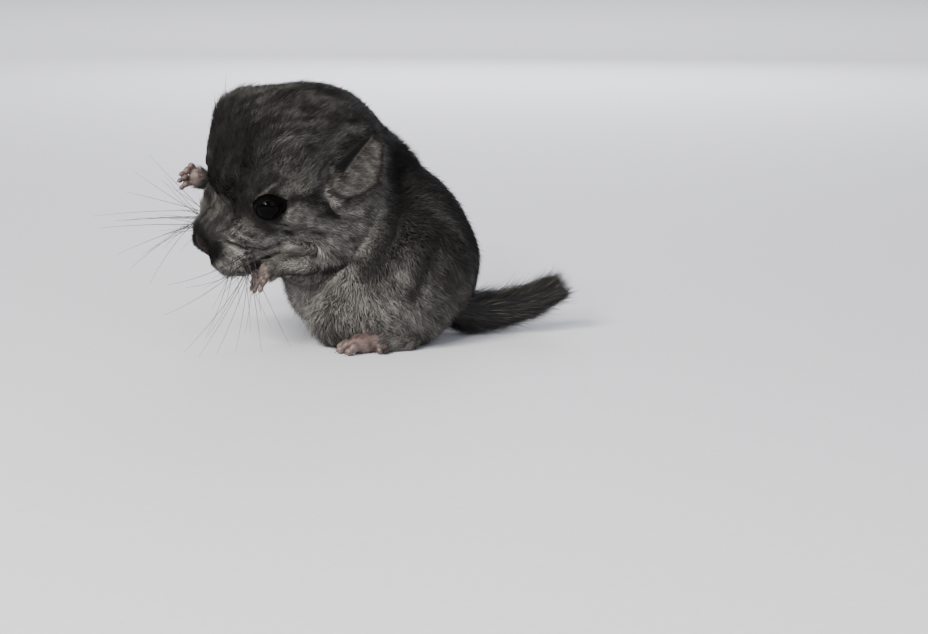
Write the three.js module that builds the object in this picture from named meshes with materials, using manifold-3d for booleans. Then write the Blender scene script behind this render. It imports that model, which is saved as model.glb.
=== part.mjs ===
// A young chinchilla, life size, sitting up on its hind feet with both front paws raised and its head tilted.
// Millimetres. +Z is up, the nose points to -X and the left side faces -Y. The floor is Z = 0, and the origin
// is the centre of the footprint. Every surface of flesh is drawn at the tips of the coat that covers it.
import * as THREE from "three";
import { mergeVertices } from "three/addons/utils/BufferGeometryUtils.js";
import Module from "manifold-3d";

const wasm = await Module();
wasm.setup();

const GAP = 0.35;
const LEFT = 1;
const RIGHT = -1;
const SIDES = [LEFT, RIGHT];
const SIDE_NAME = { [LEFT]: "left", [RIGHT]: "right" };

// Driving dimensions of the head, in its own frame: x to the nose, y to the left ear, z to the crown.
const HEAD_PLACE = new THREE.Vector3(-15.8, -6, 47.8);
const HEAD_HEADING = 27;
const HEAD_PITCH = 16;
const HEAD_ROLL = 20;
const NOSE = new THREE.Vector3(31.9, 0, -10.4);
const EYE_RADIUS = 4.4;
const EYE_PLACE = new THREE.Vector3(15.3, 15.5, 5.4);
const EYE_AXIS = new THREE.Vector3(0.46, 0.86, 0.16).normalize();
const LID_THICKNESS = 0.85;
const PAD_PLACE = new THREE.Vector3(25.3, 8, -11.2);

const EAR_LENGTH = 22.5;
const EAR_WIDTH = 15.5;
const EAR_DEPTH = 5;
const EAR_THICKNESS = 1.1;
const EAR_CURL = 1.5;
const EAR_ROOT = new THREE.Vector3(-1.5, 26, 9.6);

// Driving dimensions of the body.
const BODY_CENTRE = new THREE.Vector3(8, 2, 30);
const HEAD_DETAIL = 8;
const TOES = [5.6, 7, 5.4];
const FINGERS = [4.6, 5.8, 5.8, 4.4];
const COLLAR_REACH = 35;
const TAIL_CORE = 3;
const TAIL_REACH = 6.8;
const LOCKS_ROUND = 6;
const LOCK_ROWS = 5;
const LOCK_WIDTH = 6.4;
const LOCK_THICKNESS = 1.7;
const WHISKER_RADIUS = 0.3;
const WHISKER_TIP = 0.1;

const vec = (x, y, z) => new THREE.Vector3(x, y, z);

/** The same point on the other side of the head's middle plane. */
const sided = (point, side) => vec(point.x, point.y * side, point.z);

/** A seeded source of even random numbers from 0 to 1. */
function seeded(seed) {
  let state = seed;
  return () => {
    state = (state * 1664525 + 1013904223) % 4294967296;
    return state / 4294967296;
  };
}

// Masses: each returns the signed distance from a point to a soft form, negative inside.

/** An ellipsoid, turned about Z by a number of degrees. */
function ball(centre, radii, turn = 0) {
  const cos = Math.cos(THREE.MathUtils.degToRad(turn));
  const sin = Math.sin(THREE.MathUtils.degToRad(turn));
  return (p) => {
    const dx = p.x - centre.x;
    const dy = p.y - centre.y;
    const x = (dx * cos + dy * sin) / radii.x;
    const y = (dy * cos - dx * sin) / radii.y;
    const z = (p.z - centre.z) / radii.z;
    const far = Math.hypot(x, y, z);
    const steep = Math.hypot(x / radii.x, y / radii.y, z / radii.z);
    return steep < 1e-9 ? -Math.min(radii.x, radii.y, radii.z) : (far * (far - 1)) / steep;
  };
}

/** A limb that tapers from one round end to the other. */
function limb(from, to, fromRadius, toRadius) {
  const along = to.clone().sub(from);
  const reach = along.lengthSq();
  const spot = vec(0, 0, 0);
  return (p) => {
    const t = THREE.MathUtils.clamp(spot.copy(p).sub(from).dot(along) / reach, 0, 1);
    return spot.copy(from).addScaledVector(along, t).distanceTo(p) - THREE.MathUtils.lerp(fromRadius, toRadius, t);
  };
}

/** Several masses run together, with fillets about `soft` wide. */
function melt(soft, masses) {
  return (p) => {
    let found = masses[0](p);
    for (let i = 1; i < masses.length; i++) {
      const next = masses[i](p);
      const mix = THREE.MathUtils.clamp(0.5 + (0.5 * (next - found)) / soft, 0, 1);
      found = THREE.MathUtils.lerp(next, found, mix) - soft * mix * (1 - mix);
    }
    return found;
  };
}

/** A mass with a soft hollow pressed into it. */
function hollowed(soft, mass, hollow) {
  return (p) => {
    const kept = mass(p);
    const cut = -hollow(p);
    const mix = THREE.MathUtils.clamp(0.5 - (0.5 * (cut - kept)) / soft, 0, 1);
    return THREE.MathUtils.lerp(cut, kept, mix) + soft * mix * (1 - mix);
  };
}

/** The distance from the centre to the surface of a mass, `level` outside it, along a direction. */
function reachOf(mass, centre, direction, level, far) {
  const spot = vec(0, 0, 0);
  const at = (r) => mass(spot.copy(centre).addScaledVector(direction, r)) - level;
  const step = far / 40;
  let outer = far;
  while (outer > step && at(outer - step) > 0) outer -= step;
  let inner = outer - step;
  for (let i = 0; i < 22; i++) {
    const middle = (inner + outer) / 2;
    if (at(middle) > 0) outer = middle;
    else inner = middle;
  }
  return (inner + outer) / 2;
}

/** The outside of a mass as a closed shell, with its faces crowded towards `crowd`. */
function shell(mass, centre, detail, { level = 0, far = 60, crowd = vec(0, 0, 0) } = {}) {
  const geometry = merged(new THREE.IcosahedronGeometry(1, detail));
  const position = geometry.getAttribute("position");
  const direction = vec(0, 0, 0);
  for (let i = 0; i < position.count; i++) {
    direction.fromBufferAttribute(position, i).add(crowd).normalize();
    const spot = direction.clone().multiplyScalar(reachOf(mass, centre, direction, level, far)).add(centre);
    position.setXYZ(i, spot.x, spot.y, spot.z);
  }
  return geometry;
}

/** A point moved along the steepest way to lie `level` outside a mass. */
function settle(mass, point, level = 0) {
  const spot = point.clone();
  const nudge = 0.05;
  for (let i = 0; i < 8; i++) {
    const here = mass(spot);
    const slope = vec(
      mass(spot.clone().add(vec(nudge, 0, 0))) - here,
      mass(spot.clone().add(vec(0, nudge, 0))) - here,
      mass(spot.clone().add(vec(0, 0, nudge))) - here,
    ).divideScalar(nudge);
    spot.addScaledVector(slope, -(here - level) / Math.max(slope.lengthSq(), 0.2));
  }
  return spot;
}

// Geometry helpers.

/** A geometry with its corners shared and nothing but positions. */
function merged(geometry) {
  const bare = geometry.clone();
  bare.deleteAttribute("normal");
  bare.deleteAttribute("uv");
  return mergeVertices(bare, 1e-4);
}

/** A closed tapering bar along a curve: its section is flat, `width` by `thick` at each share t of the way. */
function sweep(curve, steps, sides, width, thick, face = vec(0, 0, 1)) {
  const geometry = merged(new THREE.CylinderGeometry(1, 1, 1, sides, steps));
  const position = geometry.getAttribute("position");
  const spot = vec(0, 0, 0);
  for (let i = 0; i < position.count; i++) {
    spot.fromBufferAttribute(position, i);
    const t = THREE.MathUtils.clamp(spot.y + 0.5, 0, 1);
    const ahead = curve.getTangentAt(t);
    const across = vec(0, 0, 0).crossVectors(face, ahead).normalize();
    const up = vec(0, 0, 0).crossVectors(ahead, across);
    const place = curve.getPointAt(t);
    place.addScaledVector(across, spot.x * width(t)).addScaledVector(up, -spot.z * thick(t));
    position.setXYZ(i, place.x, place.y, place.z);
  }
  return geometry;
}

/** A round bar that keeps to a curve, with round ends. */
function rod(points, radius, steps, sides, tip = 1) {
  const curve = new THREE.CatmullRomCurve3(points);
  const swell = (t) => {
    const end = Math.min(1, Math.min(t, 1 - t) * steps);
    return radius * THREE.MathUtils.lerp(1, tip, t) * (0.45 + 0.55 * end);
  };
  return sweep(curve, steps, sides, swell, swell, vec(0.31, 0.17, 0.93));
}

/** A finger or toe: it swells at its root, bends at the knuckle and tapers to the claw. */
const digit = (from, knuckle, claw, radius) => solid(rod([from, knuckle, claw], radius, 4, 6, 0.45));

// Solids.

/** A closed geometry as a solid. */
function solid(geometry) {
  const shared = merged(geometry);
  return new wasm.Manifold(
    new wasm.Mesh({
      numProp: 3,
      vertProperties: new Float32Array(shared.getAttribute("position").array),
      triVerts: new Uint32Array(shared.index.array),
    }),
  );
}

const joined = (solids) => solids.reduce((whole, next) => whole.add(next));
const cut = (whole, ...tools) => tools.reduce((left, tool) => left.subtract(tool), whole);

/** The biggest closed surface of a solid, as a geometry. */
function biggest(whole) {
  const bodies = whole.decompose();
  bodies.sort((a, b) => b.volume() - a.volume());
  const mesh = bodies[0].getMesh();
  const stride = mesh.numProp;
  const positions = new Float32Array(mesh.numVert * 3);
  for (let i = 0; i < mesh.numVert; i++) {
    positions.set(mesh.vertProperties.subarray(i * stride, i * stride + 3), i * 3);
  }
  return new THREE.BufferGeometry()
    .setAttribute("position", new THREE.BufferAttribute(positions, 3))
    .setIndex(new THREE.BufferAttribute(new Uint32Array(mesh.triVerts), 1));
}

// The head's place in the world.
const rad = THREE.MathUtils.degToRad;
const ahead = vec(
  -Math.cos(rad(HEAD_PITCH)) * Math.cos(rad(HEAD_HEADING)),
  -Math.cos(rad(HEAD_PITCH)) * Math.sin(rad(HEAD_HEADING)),
  -Math.sin(rad(HEAD_PITCH)),
);
const level = vec(0, 0, 1).cross(ahead).normalize();
const leftward = level.clone().applyAxisAngle(ahead, rad(-HEAD_ROLL));
const upward = ahead.clone().cross(leftward);
const headMatrix = new THREE.Matrix4().makeBasis(ahead, leftward, upward).setPosition(HEAD_PLACE);
const inWorld = (point) => point.clone().applyMatrix4(headMatrix);
const worldSolid = (geometry) => solid(geometry.clone().applyMatrix4(headMatrix));

// The head: skull, crown, cheeks and muzzle run together under the coat.
const skin = melt(5, [
  ball(vec(-5, 0, 3), vec(25, 25, 25)),
  ...SIDES.map((side) => ball(vec(4.5, 10 * side, 11.5), vec(16.5, 17, 15))),
  ball(vec(12, 0, 8), vec(12, 14, 12)),
  ...SIDES.map((side) => ball(vec(-7, 14 * side, -10), vec(19, 13.5, 15))),
  ...SIDES.map((side) => ball(vec(6, 8 * side, -13.5), vec(15, 9, 10))),
  limb(vec(6, 0, -3), vec(24, 0, -8), 15, 8),
  ...SIDES.map((side) => ball(vec(17, 7.5 * side, -4.5), vec(8, 8, 8))),
  ...SIDES.map((side) => ball(sided(PAD_PLACE, side), vec(6.3, 6.8, 6.2))),
  ball(vec(20, 0, -17.5), vec(6, 5.5, 3.6)),
]);
const snout = melt(1.6, [
  skin,
  ball(NOSE.clone().add(vec(-3, 0, 1)), vec(3.6, 3.2, 3.2)),
  ...SIDES.map((side) => ball(NOSE.clone().add(vec(-1.5, 2 * side, 0.2)), vec(1.9, 1.7, 1.9))),
]);
const headMass = SIDES.reduce((mass, side) => {
  const orbit = sided(EYE_PLACE, side).addScaledVector(sided(EYE_AXIS, side), EYE_RADIUS * 1.8).add(vec(0, 0, 2.2));
  const earBed = ball(sided(vec(-6, 29, 18), side), vec(13, 9, 11.5));
  return hollowed(5, hollowed(5, mass, earBed), ball(orbit, vec(8.5, 6.6, 8.5)));
}, snout);
const headShell = (outside) =>
  worldSolid(shell(headMass, vec(7, 0, -2), HEAD_DETAIL, { level: outside, far: 56, crowd: vec(0.26, 0, -0.1) }));

/** The eyelids of one side: a rim round the eye, wider than it is high. */
function lids(side) {
  const rim = merged(new THREE.TorusGeometry(EYE_RADIUS * 0.93, LID_THICKNESS, 5, 16));
  rim.scale(1.08, 0.96, 1);
  const axis = sided(EYE_AXIS, side);
  rim.applyQuaternion(new THREE.Quaternion().setFromUnitVectors(vec(0, 0, 1), axis));
  const place = sided(EYE_PLACE, side).addScaledVector(axis, EYE_RADIUS * 0.34);
  return rim.translate(place.x, place.y, place.z);
}

/** A groove pressed along the surface of the head. */
function groove(points, radius, steps) {
  return rod(points.map((point) => settle(snout, point, 0.1)), radius, steps, 6);
}

const mouthLine = SIDES.map((side) =>
  groove([vec(27.6, 0.2 * side, -16.4), vec(25.5, 4.5 * side, -17.6), vec(20, 9 * side, -19)], 0.6, 5),
);
const philtrum = groove([vec(30.6, 0, -13), vec(29.4, 0, -15), vec(27.6, 0, -16.8)], 0.5, 4);
const nostrils = SIDES.map((side) =>
  rod([
    NOSE.clone().add(vec(0.9, 0.9 * side, -0.9)),
    NOSE.clone().add(vec(0.6, 2.2 * side, 0)),
    NOSE.clone().add(vec(-1.2, 3.8 * side, 1.1)),
  ], 0.6, 4, 6),
);
const eyeballs = SIDES.map((side) => {
  const place = inWorld(sided(EYE_PLACE, side));
  return { side, place };
});
const sphereAt = (place, radius, detail) =>
  solid(merged(new THREE.IcosahedronGeometry(radius, detail)).translate(place.x, place.y, place.z));

const headSolid = cut(
  joined([headShell(0), ...SIDES.map((side) => worldSolid(lids(side)))]),
  ...eyeballs.map(({ place }) => sphereAt(place, EYE_RADIUS + GAP, 3)),
  ...[...mouthLine, philtrum, ...nostrils].map(worldSolid),
);
const headRoom = headShell(GAP);

// Ears: thin cups, narrow at the root and round at the top.

/** One ear as a thick cupped leaf, from its root, along `rise`, open towards `open`. */
function earCup(root, rise, open) {
  const leaf = merged(new THREE.SphereGeometry(1, 18, 10));
  leaf.rotateX(Math.PI / 2);
  const position = leaf.getAttribute("position");
  const across = rise.clone().cross(open).normalize();
  const face = across.clone().cross(rise).normalize();
  const spot = vec(0, 0, 0);
  for (let i = 0; i < position.count; i++) {
    spot.fromBufferAttribute(position, i);
    const t = (spot.y + 1) / 2;
    const radial = Math.min(1, Math.hypot(spot.x, spot.y));
    const waist = 0.62 + 0.38 * Math.sin(Math.PI * Math.min(1, 0.18 + t * 0.9));
    const hollow = EAR_DEPTH * (1 - radial ** 2) * (0.75 + 0.35 * (1 - t)) + EAR_CURL * spot.x ** 2;
    const wall = (EAR_THICKNESS / 2) * Math.sign(spot.z) * Math.sqrt(Math.abs(spot.z));
    const place = root.clone();
    place.addScaledVector(rise, t * EAR_LENGTH - 2);
    place.addScaledVector(across, (spot.x * EAR_WIDTH * waist) / 2);
    place.addScaledVector(face, wall - hollow);
    position.setXYZ(i, place.x, place.y, place.z);
  }
  return leaf;
}

const earPlaces = [
  { side: LEFT, rise: vec(-0.825, -0.1, 0.543), open: vec(0.42, 0.76, 0.5) },
  { side: RIGHT, rise: vec(-0.9, 0.08, 0.15), open: vec(0.1, -0.95, 0.3) },
];
const ears = earPlaces.map(({ side, rise, open }) => {
  const cup = earCup(sided(EAR_ROOT, side), rise.clone().normalize(), open.clone().normalize());
  return { side, solid: worldSolid(cup) };
});

// The body: hips and chest run together, with a collar between the chest and the head.
const trunk = melt(9, [
  ball(vec(15, 2, 22), vec(24, 28, 23)),
  ball(vec(12, 3, 34), vec(19, 22, 19)),
  ball(vec(-6, 1, 20), vec(13, 17, 17)),
  ball(vec(-1, 3, 33), vec(16, 20, 22)),
  ball(vec(2, 4, 47.5), vec(15.5, 17, 16)),
]);
const trunkSolid = solid(shell(trunk, BODY_CENTRE, 6, { far: 60 }));
const haunchMass = (side) =>
  melt(6, [
    ball(vec(12, 2 - 16 * side, 14), vec(20, 12.5, 16)),
    ball(vec(-2, 2 - 16 * side, 9), vec(11, 10, 10)),
  ]);
const haunchShell = (side, outside, detail) =>
  solid(shell(haunchMass(side), vec(12, 2 - 15 * side, 13), detail, { level: outside, far: 40 }));

// Hind feet: long soles flat on the floor, with three long toes and a short one.
const footPlaces = [
  { side: LEFT, heel: vec(17, -19.5, 3.4), front: vec(4.5, -24.3, 2.6) },
  { side: RIGHT, heel: vec(14, 23, 3.4), front: vec(2, 26, 2.6) },
];

/** One hind foot: the sole, three long toes and the short outer one. */
function hindFoot({ side, heel, front }) {
  const way = front.clone().sub(heel).setZ(0).normalize();
  const out = vec(-way.y, way.x, 0).multiplyScalar(side);
  const sole = melt(2, [
    limb(heel, front, 4, 3.2),
    ball(front, vec(4, 4.4, 2.8)),
  ]);
  const middle = heel.clone().lerp(front, 0.55);
  const parts = [solid(shell(sole, middle, 2, { far: 24 }))];
  [-2.9, -0.1, 2.7].forEach((aside, i) => {
    const from = front.clone().addScaledVector(out, aside * 0.8);
    const knuckle = front.clone().addScaledVector(out, aside * 1.2).addScaledVector(way, TOES[i] * 0.6).setZ(2.3);
    const claw = front.clone().addScaledVector(out, aside * 1.35).addScaledVector(way, TOES[i]).setZ(1);
    parts.push(digit(from, knuckle, claw, 1.8));
  });
  const thumb = heel.clone().lerp(front, 0.5).addScaledVector(out, 2.6).setZ(1.8);
  const thumbTip = thumb.clone().addScaledVector(way, 2.8).addScaledVector(out, 2.2).setZ(1);
  parts.push(digit(thumb, thumb.clone().lerp(thumbTip, 0.5), thumbTip, 1.4));
  return joined(parts);
}

// Front legs: the left paw droops under the chin, and the right one reaches out past the face.
const armPlaces = [
  {
    side: LEFT,
    path: [vec(-4, -12, 27), vec(-12, -17, 24.5), vec(-18.7, -20, 24.8)],
    radii: [8.5, 5, 3.2],
    palm: vec(-22.4, -21.5, 23.6),
    reach: vec(-0.72, -0.2, -0.66),
    spread: vec(0.45, -0.85, -0.25),
  },
  {
    side: RIGHT,
    path: [vec(-2, 19, 33), vec(-19, 27, 33), vec(-40, 19, 43)],
    radii: [9, 5.5, 3.2],
    palm: vec(-46.5, 14.5, 46),
    reach: vec(-0.8, -0.5, 0.32),
    spread: vec(0.25, 0.25, 0.94),
  },
];
const armMass = ({ path, radii }) =>
  melt(3, [limb(path[0], path[1], radii[0], radii[1]), limb(path[1], path[2], radii[1], radii[2])]);

/** One front paw: the wrist, the palm and four slim fingers that curl down. */
function paw({ path, palm, reach, spread }) {
  const way = reach.clone().normalize();
  const aside = spread.clone().normalize();
  const hand = melt(1.5, [limb(path[2], palm, 2.6, 2.9), ball(palm, vec(3.1, 3.1, 3.1))]);
  const parts = [solid(shell(hand, palm, 2, { far: 16 }))];
  [-2.5, -0.85, 0.85, 2.5].forEach((offset, i) => {
    const from = palm.clone().addScaledVector(aside, offset * 0.8);
    const knuckle = palm.clone().addScaledVector(aside, offset * 1.25).addScaledVector(way, FINGERS[i] * 0.7);
    const tip = knuckle.clone().addScaledVector(way, FINGERS[i] * 0.35).add(vec(0, 0, -1.8));
    parts.push(digit(from, knuckle, tip, 1.35));
  });
  return joined(parts);
}

// The tail: a thin core with flat tapered locks in rows along it, which lie back and overlap.
const tailCurve = new THREE.CatmullRomCurve3([
  vec(26, 3, 8),
  vec(34, 4, 6.4),
  vec(43, 5, 6.6),
  vec(52, 6, 8.6),
  vec(59, 7.2, 11.4),
]);

/** The tail's coarse hair as rows of locks round the core. */
function tailLocks() {
  const draw = seeded(7);
  const locks = [];
  for (let row = 0; row < LOCK_ROWS; row++) {
    const t = 0.06 + (0.9 * row) / (LOCK_ROWS - 1);
    const root = tailCurve.getPointAt(t);
    const back = tailCurve.getTangentAt(t);
    const side = vec(0, 1, 0).cross(back).normalize();
    const over = back.clone().cross(side);
    const swell = 0.66 + 0.34 * Math.sin(Math.PI * Math.min(1, 0.2 + t * 0.75));
    for (let i = 0; i < LOCKS_ROUND; i++) {
      const angle = ((i + 0.5 * (row % 2)) / LOCKS_ROUND) * 2 * Math.PI + (draw() - 0.5) * 0.2;
      const out = side.clone().multiplyScalar(Math.cos(angle)).addScaledVector(over, Math.sin(angle));
      const reach = (TAIL_REACH * swell - 0.6) * (0.93 + 0.14 * draw());
      const run = (12.5 + 3 * draw()) * (1 - 0.45 * t);
      const path = new THREE.QuadraticBezierCurve3(
        root.clone().addScaledVector(out, TAIL_CORE * 0.35),
        root.clone().addScaledVector(out, reach * 0.9).addScaledVector(back, run * 0.42),
        root.clone().addScaledVector(out, reach).addScaledVector(back, run),
      );
      const width = (s) => (LOCK_WIDTH / 2) * swell * (1 - 0.93 * s ** 1.7);
      const thick = (s) => (LOCK_THICKNESS / 2) * (1 - 0.86 * s ** 1.7);
      locks.push(solid(sweep(path, 3, 4, width, thick, out)));
    }
  }
  return locks;
}

const tailCore = sweep(tailCurve, 6, 8, (t) => TAIL_CORE * (1 - 0.25 * t), (t) => TAIL_CORE * (1 - 0.25 * t));
const tailRoot = solid(shell(limb(vec(25, 3, 9), vec(34, 4, 6.5), 7, 4.6), vec(29, 3.5, 7.8), 3, { far: 20 }));

// Whiskers: each side has a fan of long tapered hairs, rooted in the pad of its lip.
const whiskerFans = {
  [LEFT]: [
    vec(-45, -38, 3),
    vec(-40.5, -42, 2.4),
    vec(-35.5, -40, 3),
    vec(-30, -42, 4),
    vec(-23, -40, 3.5),
    vec(-15, -36, 4),
    vec(-50, -40, 14),
    vec(-48, -48, 24),
  ],
  [RIGHT]: [
    vec(-64, 4, 49),
    vec(-59, 2, 54),
    vec(-66, 0, 43.5),
    vec(-76, -2, 36.5),
    vec(-74, -6, 33.5),
    vec(-68, -8, 26),
    vec(-64, -10, 22),
    vec(-58, -12, 18),
  ],
};

const whiskerRoot = (side) =>
  settle(headMass, vec(PAD_PLACE.x - 0.5, (PAD_PLACE.y + 4.2) * side, PAD_PLACE.z + 0.2));

/** The low cushion that a side's whiskers grow from, `outside` wider all round. */
function whiskerCushion(side, outside) {
  const cushion = merged(new THREE.SphereGeometry(1, 10, 6));
  cushion.scale(4.2 + outside, 1.5 + outside, 3.4 + outside);
  const root = whiskerRoot(side);
  return worldSolid(cushion.translate(root.x, root.y, root.z));
}

/** A side's cushion with its whiskers fanned out of it. */
function whiskerFan(side) {
  const root = whiskerRoot(side);
  const out = vec(0.25, 0.95 * side, -0.1).normalize();
  const parts = [whiskerCushion(side, 0)];
  const last = whiskerFans[side].length - 1;
  whiskerFans[side].forEach((tip, i) => {
    const angle = (i / (last + 1)) * Math.PI * 2;
    const base = inWorld(root.clone().add(vec(2 * Math.cos(angle), 0, 1.6 * Math.sin(angle))));
    const bulge = base.clone().lerp(tip, 0.45).add(out.clone().transformDirection(headMatrix).multiplyScalar(3.5));
    const path = new THREE.QuadraticBezierCurve3(base, bulge, tip);
    const fine = (t) => THREE.MathUtils.lerp(WHISKER_RADIUS, WHISKER_TIP, t);
    parts.push(solid(sweep(path, 3, 4, fine, fine, vec(0.2, 0.9, 0.3))));
  });
  return joined(parts);
}

// Assembly: each piece is cut back from what it grows out of, so that neighbours meet across the gap.
const floor = solid(new THREE.BoxGeometry(400, 400, 60).translate(0, 0, -30));
const collarBall = (extra) => sphereAt(HEAD_PLACE.clone().add(vec(4, 2, -3)), COLLAR_REACH + extra, 6);
const haunches = SIDES.map((side) => ({
  side,
  solid: cut(haunchShell(side, 0, 4), floor),
  room: haunchShell(side, GAP, 4),
}));
const feet = footPlaces.map((place) => ({ side: place.side, solid: hindFoot(place) }));
const torsoBase = cut(trunkSolid, headRoom, floor, ...haunches.map(({ room }) => room));
const armShell = (place, outside, detail) =>
  solid(shell(armMass(place), place.path[1], detail, { level: outside, far: 50 }));

const materials = {
  coat: new THREE.MeshStandardMaterial({ color: 0x3f3e3e, roughness: 0.9, metalness: 0 }),
  pink: new THREE.MeshStandardMaterial({ color: 0xb08a8c, roughness: 0.6, metalness: 0 }),
  eye: new THREE.MeshStandardMaterial({ color: 0x0b0a0a, roughness: 0.08, metalness: 0 }),
  ear: new THREE.MeshStandardMaterial({ color: 0x6a6364, roughness: 0.75, metalness: 0 }),
  whisker: new THREE.MeshStandardMaterial({ color: 0x2c2a28, roughness: 0.5, metalness: 0 }),
};

const chinchilla = new THREE.Group();

function place(name, whole, material) {
  const mesh = new THREE.Mesh(biggest(whole), material);
  mesh.name = name;
  chinchilla.add(mesh);
  return mesh;
}

const armRooms = armPlaces.map((entry) => armShell(entry, GAP, 4));

place("head", cut(headSolid, ...SIDES.map((side) => whiskerCushion(side, GAP))), materials.coat);
place("neck", cut(torsoBase.intersect(collarBall(0)), ...armRooms), materials.coat);
place("torso", cut(torsoBase, collarBall(GAP), ...armRooms), materials.coat);
haunches.forEach(({ side, solid: whole }, i) => {
  place("haunch_" + SIDE_NAME[side], cut(whole, ...feet.map(({ solid: foot }) => foot), headRoom), materials.coat);
});
feet.forEach(({ side, solid: foot }) => {
  place("hind_foot_" + SIDE_NAME[side], cut(foot, floor), materials.pink);
});
armPlaces.forEach((entry) => {
  const arm = cut(armShell(entry, 0, 4), headRoom, floor, ...haunches.map(({ room }) => room));
  place("foreleg_" + SIDE_NAME[entry.side], arm, materials.coat);
  place("forepaw_" + SIDE_NAME[entry.side], cut(paw(entry), armShell(entry, GAP, 4), headRoom), materials.pink);
});
ears.forEach(({ side, solid: cup }) => {
  place("ear_" + SIDE_NAME[side], cut(cup, headRoom, torsoBase), materials.ear);
});
eyeballs.forEach(({ side, place: spot }) => {
  place("eye_" + SIDE_NAME[side], sphereAt(spot, EYE_RADIUS, 3), materials.eye);
});
SIDES.forEach((side) => {
  place("whiskers_" + SIDE_NAME[side], whiskerFan(side), materials.whisker);
});
const bodyRoom = solid(shell(trunk, BODY_CENTRE, 6, { level: GAP, far: 60 }));
place(
  "tail",
  cut(joined([solid(tailCore), tailRoot, ...tailLocks()]), bodyRoom, floor, ...haunches.map(({ room }) => room)),
  materials.coat,
);

// The origin: the middle of the whole on the floor.
const bounds = new THREE.Box3().setFromObject(chinchilla);
const middle = bounds.getCenter(vec(0, 0, 0));
chinchilla.children.forEach((mesh) => mesh.position.set(-middle.x, -middle.y, -bounds.min.z));

export default chinchilla;
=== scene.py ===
import logging
import math
from dataclasses import dataclass, fields, replace
from enum import Enum
from itertools import product
from typing import Callable, Sequence

import bmesh
import bpy
import numpy as np
from mathutils import Matrix, Vector


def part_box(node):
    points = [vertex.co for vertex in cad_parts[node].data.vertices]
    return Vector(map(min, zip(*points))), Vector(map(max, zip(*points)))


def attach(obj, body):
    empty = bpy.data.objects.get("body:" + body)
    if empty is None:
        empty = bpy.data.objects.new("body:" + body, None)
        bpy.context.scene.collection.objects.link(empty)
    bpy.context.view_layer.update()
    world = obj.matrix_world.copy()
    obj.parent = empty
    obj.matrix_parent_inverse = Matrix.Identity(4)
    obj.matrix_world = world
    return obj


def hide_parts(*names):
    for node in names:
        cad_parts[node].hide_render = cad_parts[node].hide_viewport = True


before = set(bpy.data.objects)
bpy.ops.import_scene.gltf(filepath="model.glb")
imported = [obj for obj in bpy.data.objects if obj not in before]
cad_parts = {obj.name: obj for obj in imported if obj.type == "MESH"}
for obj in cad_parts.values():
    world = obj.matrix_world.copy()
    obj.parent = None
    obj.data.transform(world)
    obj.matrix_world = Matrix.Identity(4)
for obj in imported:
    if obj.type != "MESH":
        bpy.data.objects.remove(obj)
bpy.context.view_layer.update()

LOG = logging.getLogger("chinchilla")
MM = 0.001
PHOTO_WIDTH = 928
PHOTO_HEIGHT = 634
# Cells along each side of a cloud's table, and how far its start lies from the origin, in cells.
CLOUD_CELLS = 32
CLOUD_START = 100.0
Points = np.ndarray


class Side(Enum):
    """The two sides of the animal, by the sign of y in the head's own frame."""

    LEFT = 1
    RIGHT = -1

    @property
    def word(self) -> str:
        """The side's name, as the CAD nodes have it."""
        return self.name.lower()


def vec(*numbers: float) -> Points:
    """One point or direction as an array."""
    return np.array(numbers, float)


def unit(vectors: Points) -> Points:
    """Vectors of length one.

    Args:
        vectors: One vector, or one in each row.

    Returns:
        The same directions with a length of one.
    """
    size = np.linalg.norm(vectors, axis=-1, keepdims=True)
    return vectors / np.maximum(size, 1e-9)


def along_surface(vectors: Points, normals: Points) -> Points:
    """Directions turned to lie in a surface.

    Args:
        vectors: One vector in each row.
        normals: The surface's outward directions there.

    Returns:
        Unit directions that lie in the surface.
    """
    return unit(vectors - normals * (vectors * normals).sum(1, keepdims=True))


def smooth_step(low: float, high: float, value: Points) -> Points:
    """A soft ramp from 0 at low to 1 at high."""
    share = np.clip((value - low) / (high - low), 0.0, 1.0)
    return share * share * (3.0 - 2.0 * share)


def cloud(points: Points, size: float, seed: int) -> Points:
    """Soft random values in space, for the coat's mottling and its partings.

    Args:
        points: Places in millimetres, one in each row.
        size: The width of one patch in millimetres.
        seed: Which pattern it is.

    Returns:
        One value from 0 to 1 for each point.
    """
    table = np.random.default_rng(seed).random((CLOUD_CELLS,) * 3)
    scaled = points / size + CLOUD_START
    base = np.floor(scaled).astype(int)
    part = smooth_step(0.0, 1.0, scaled - base)
    total = np.zeros(len(points))
    for corner in product((0, 1), repeat=3):
        spot = (base + np.array(corner)) % CLOUD_CELLS
        weight = np.prod(np.where(corner, part, 1.0 - part), axis=1)
        total += weight * table[spot[:, 0], spot[:, 1], spot[:, 2]]
    return total


# Places. Shapes are drawn in millimetres in the pose's own frame, and moved to the CAD frame at the end.


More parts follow.
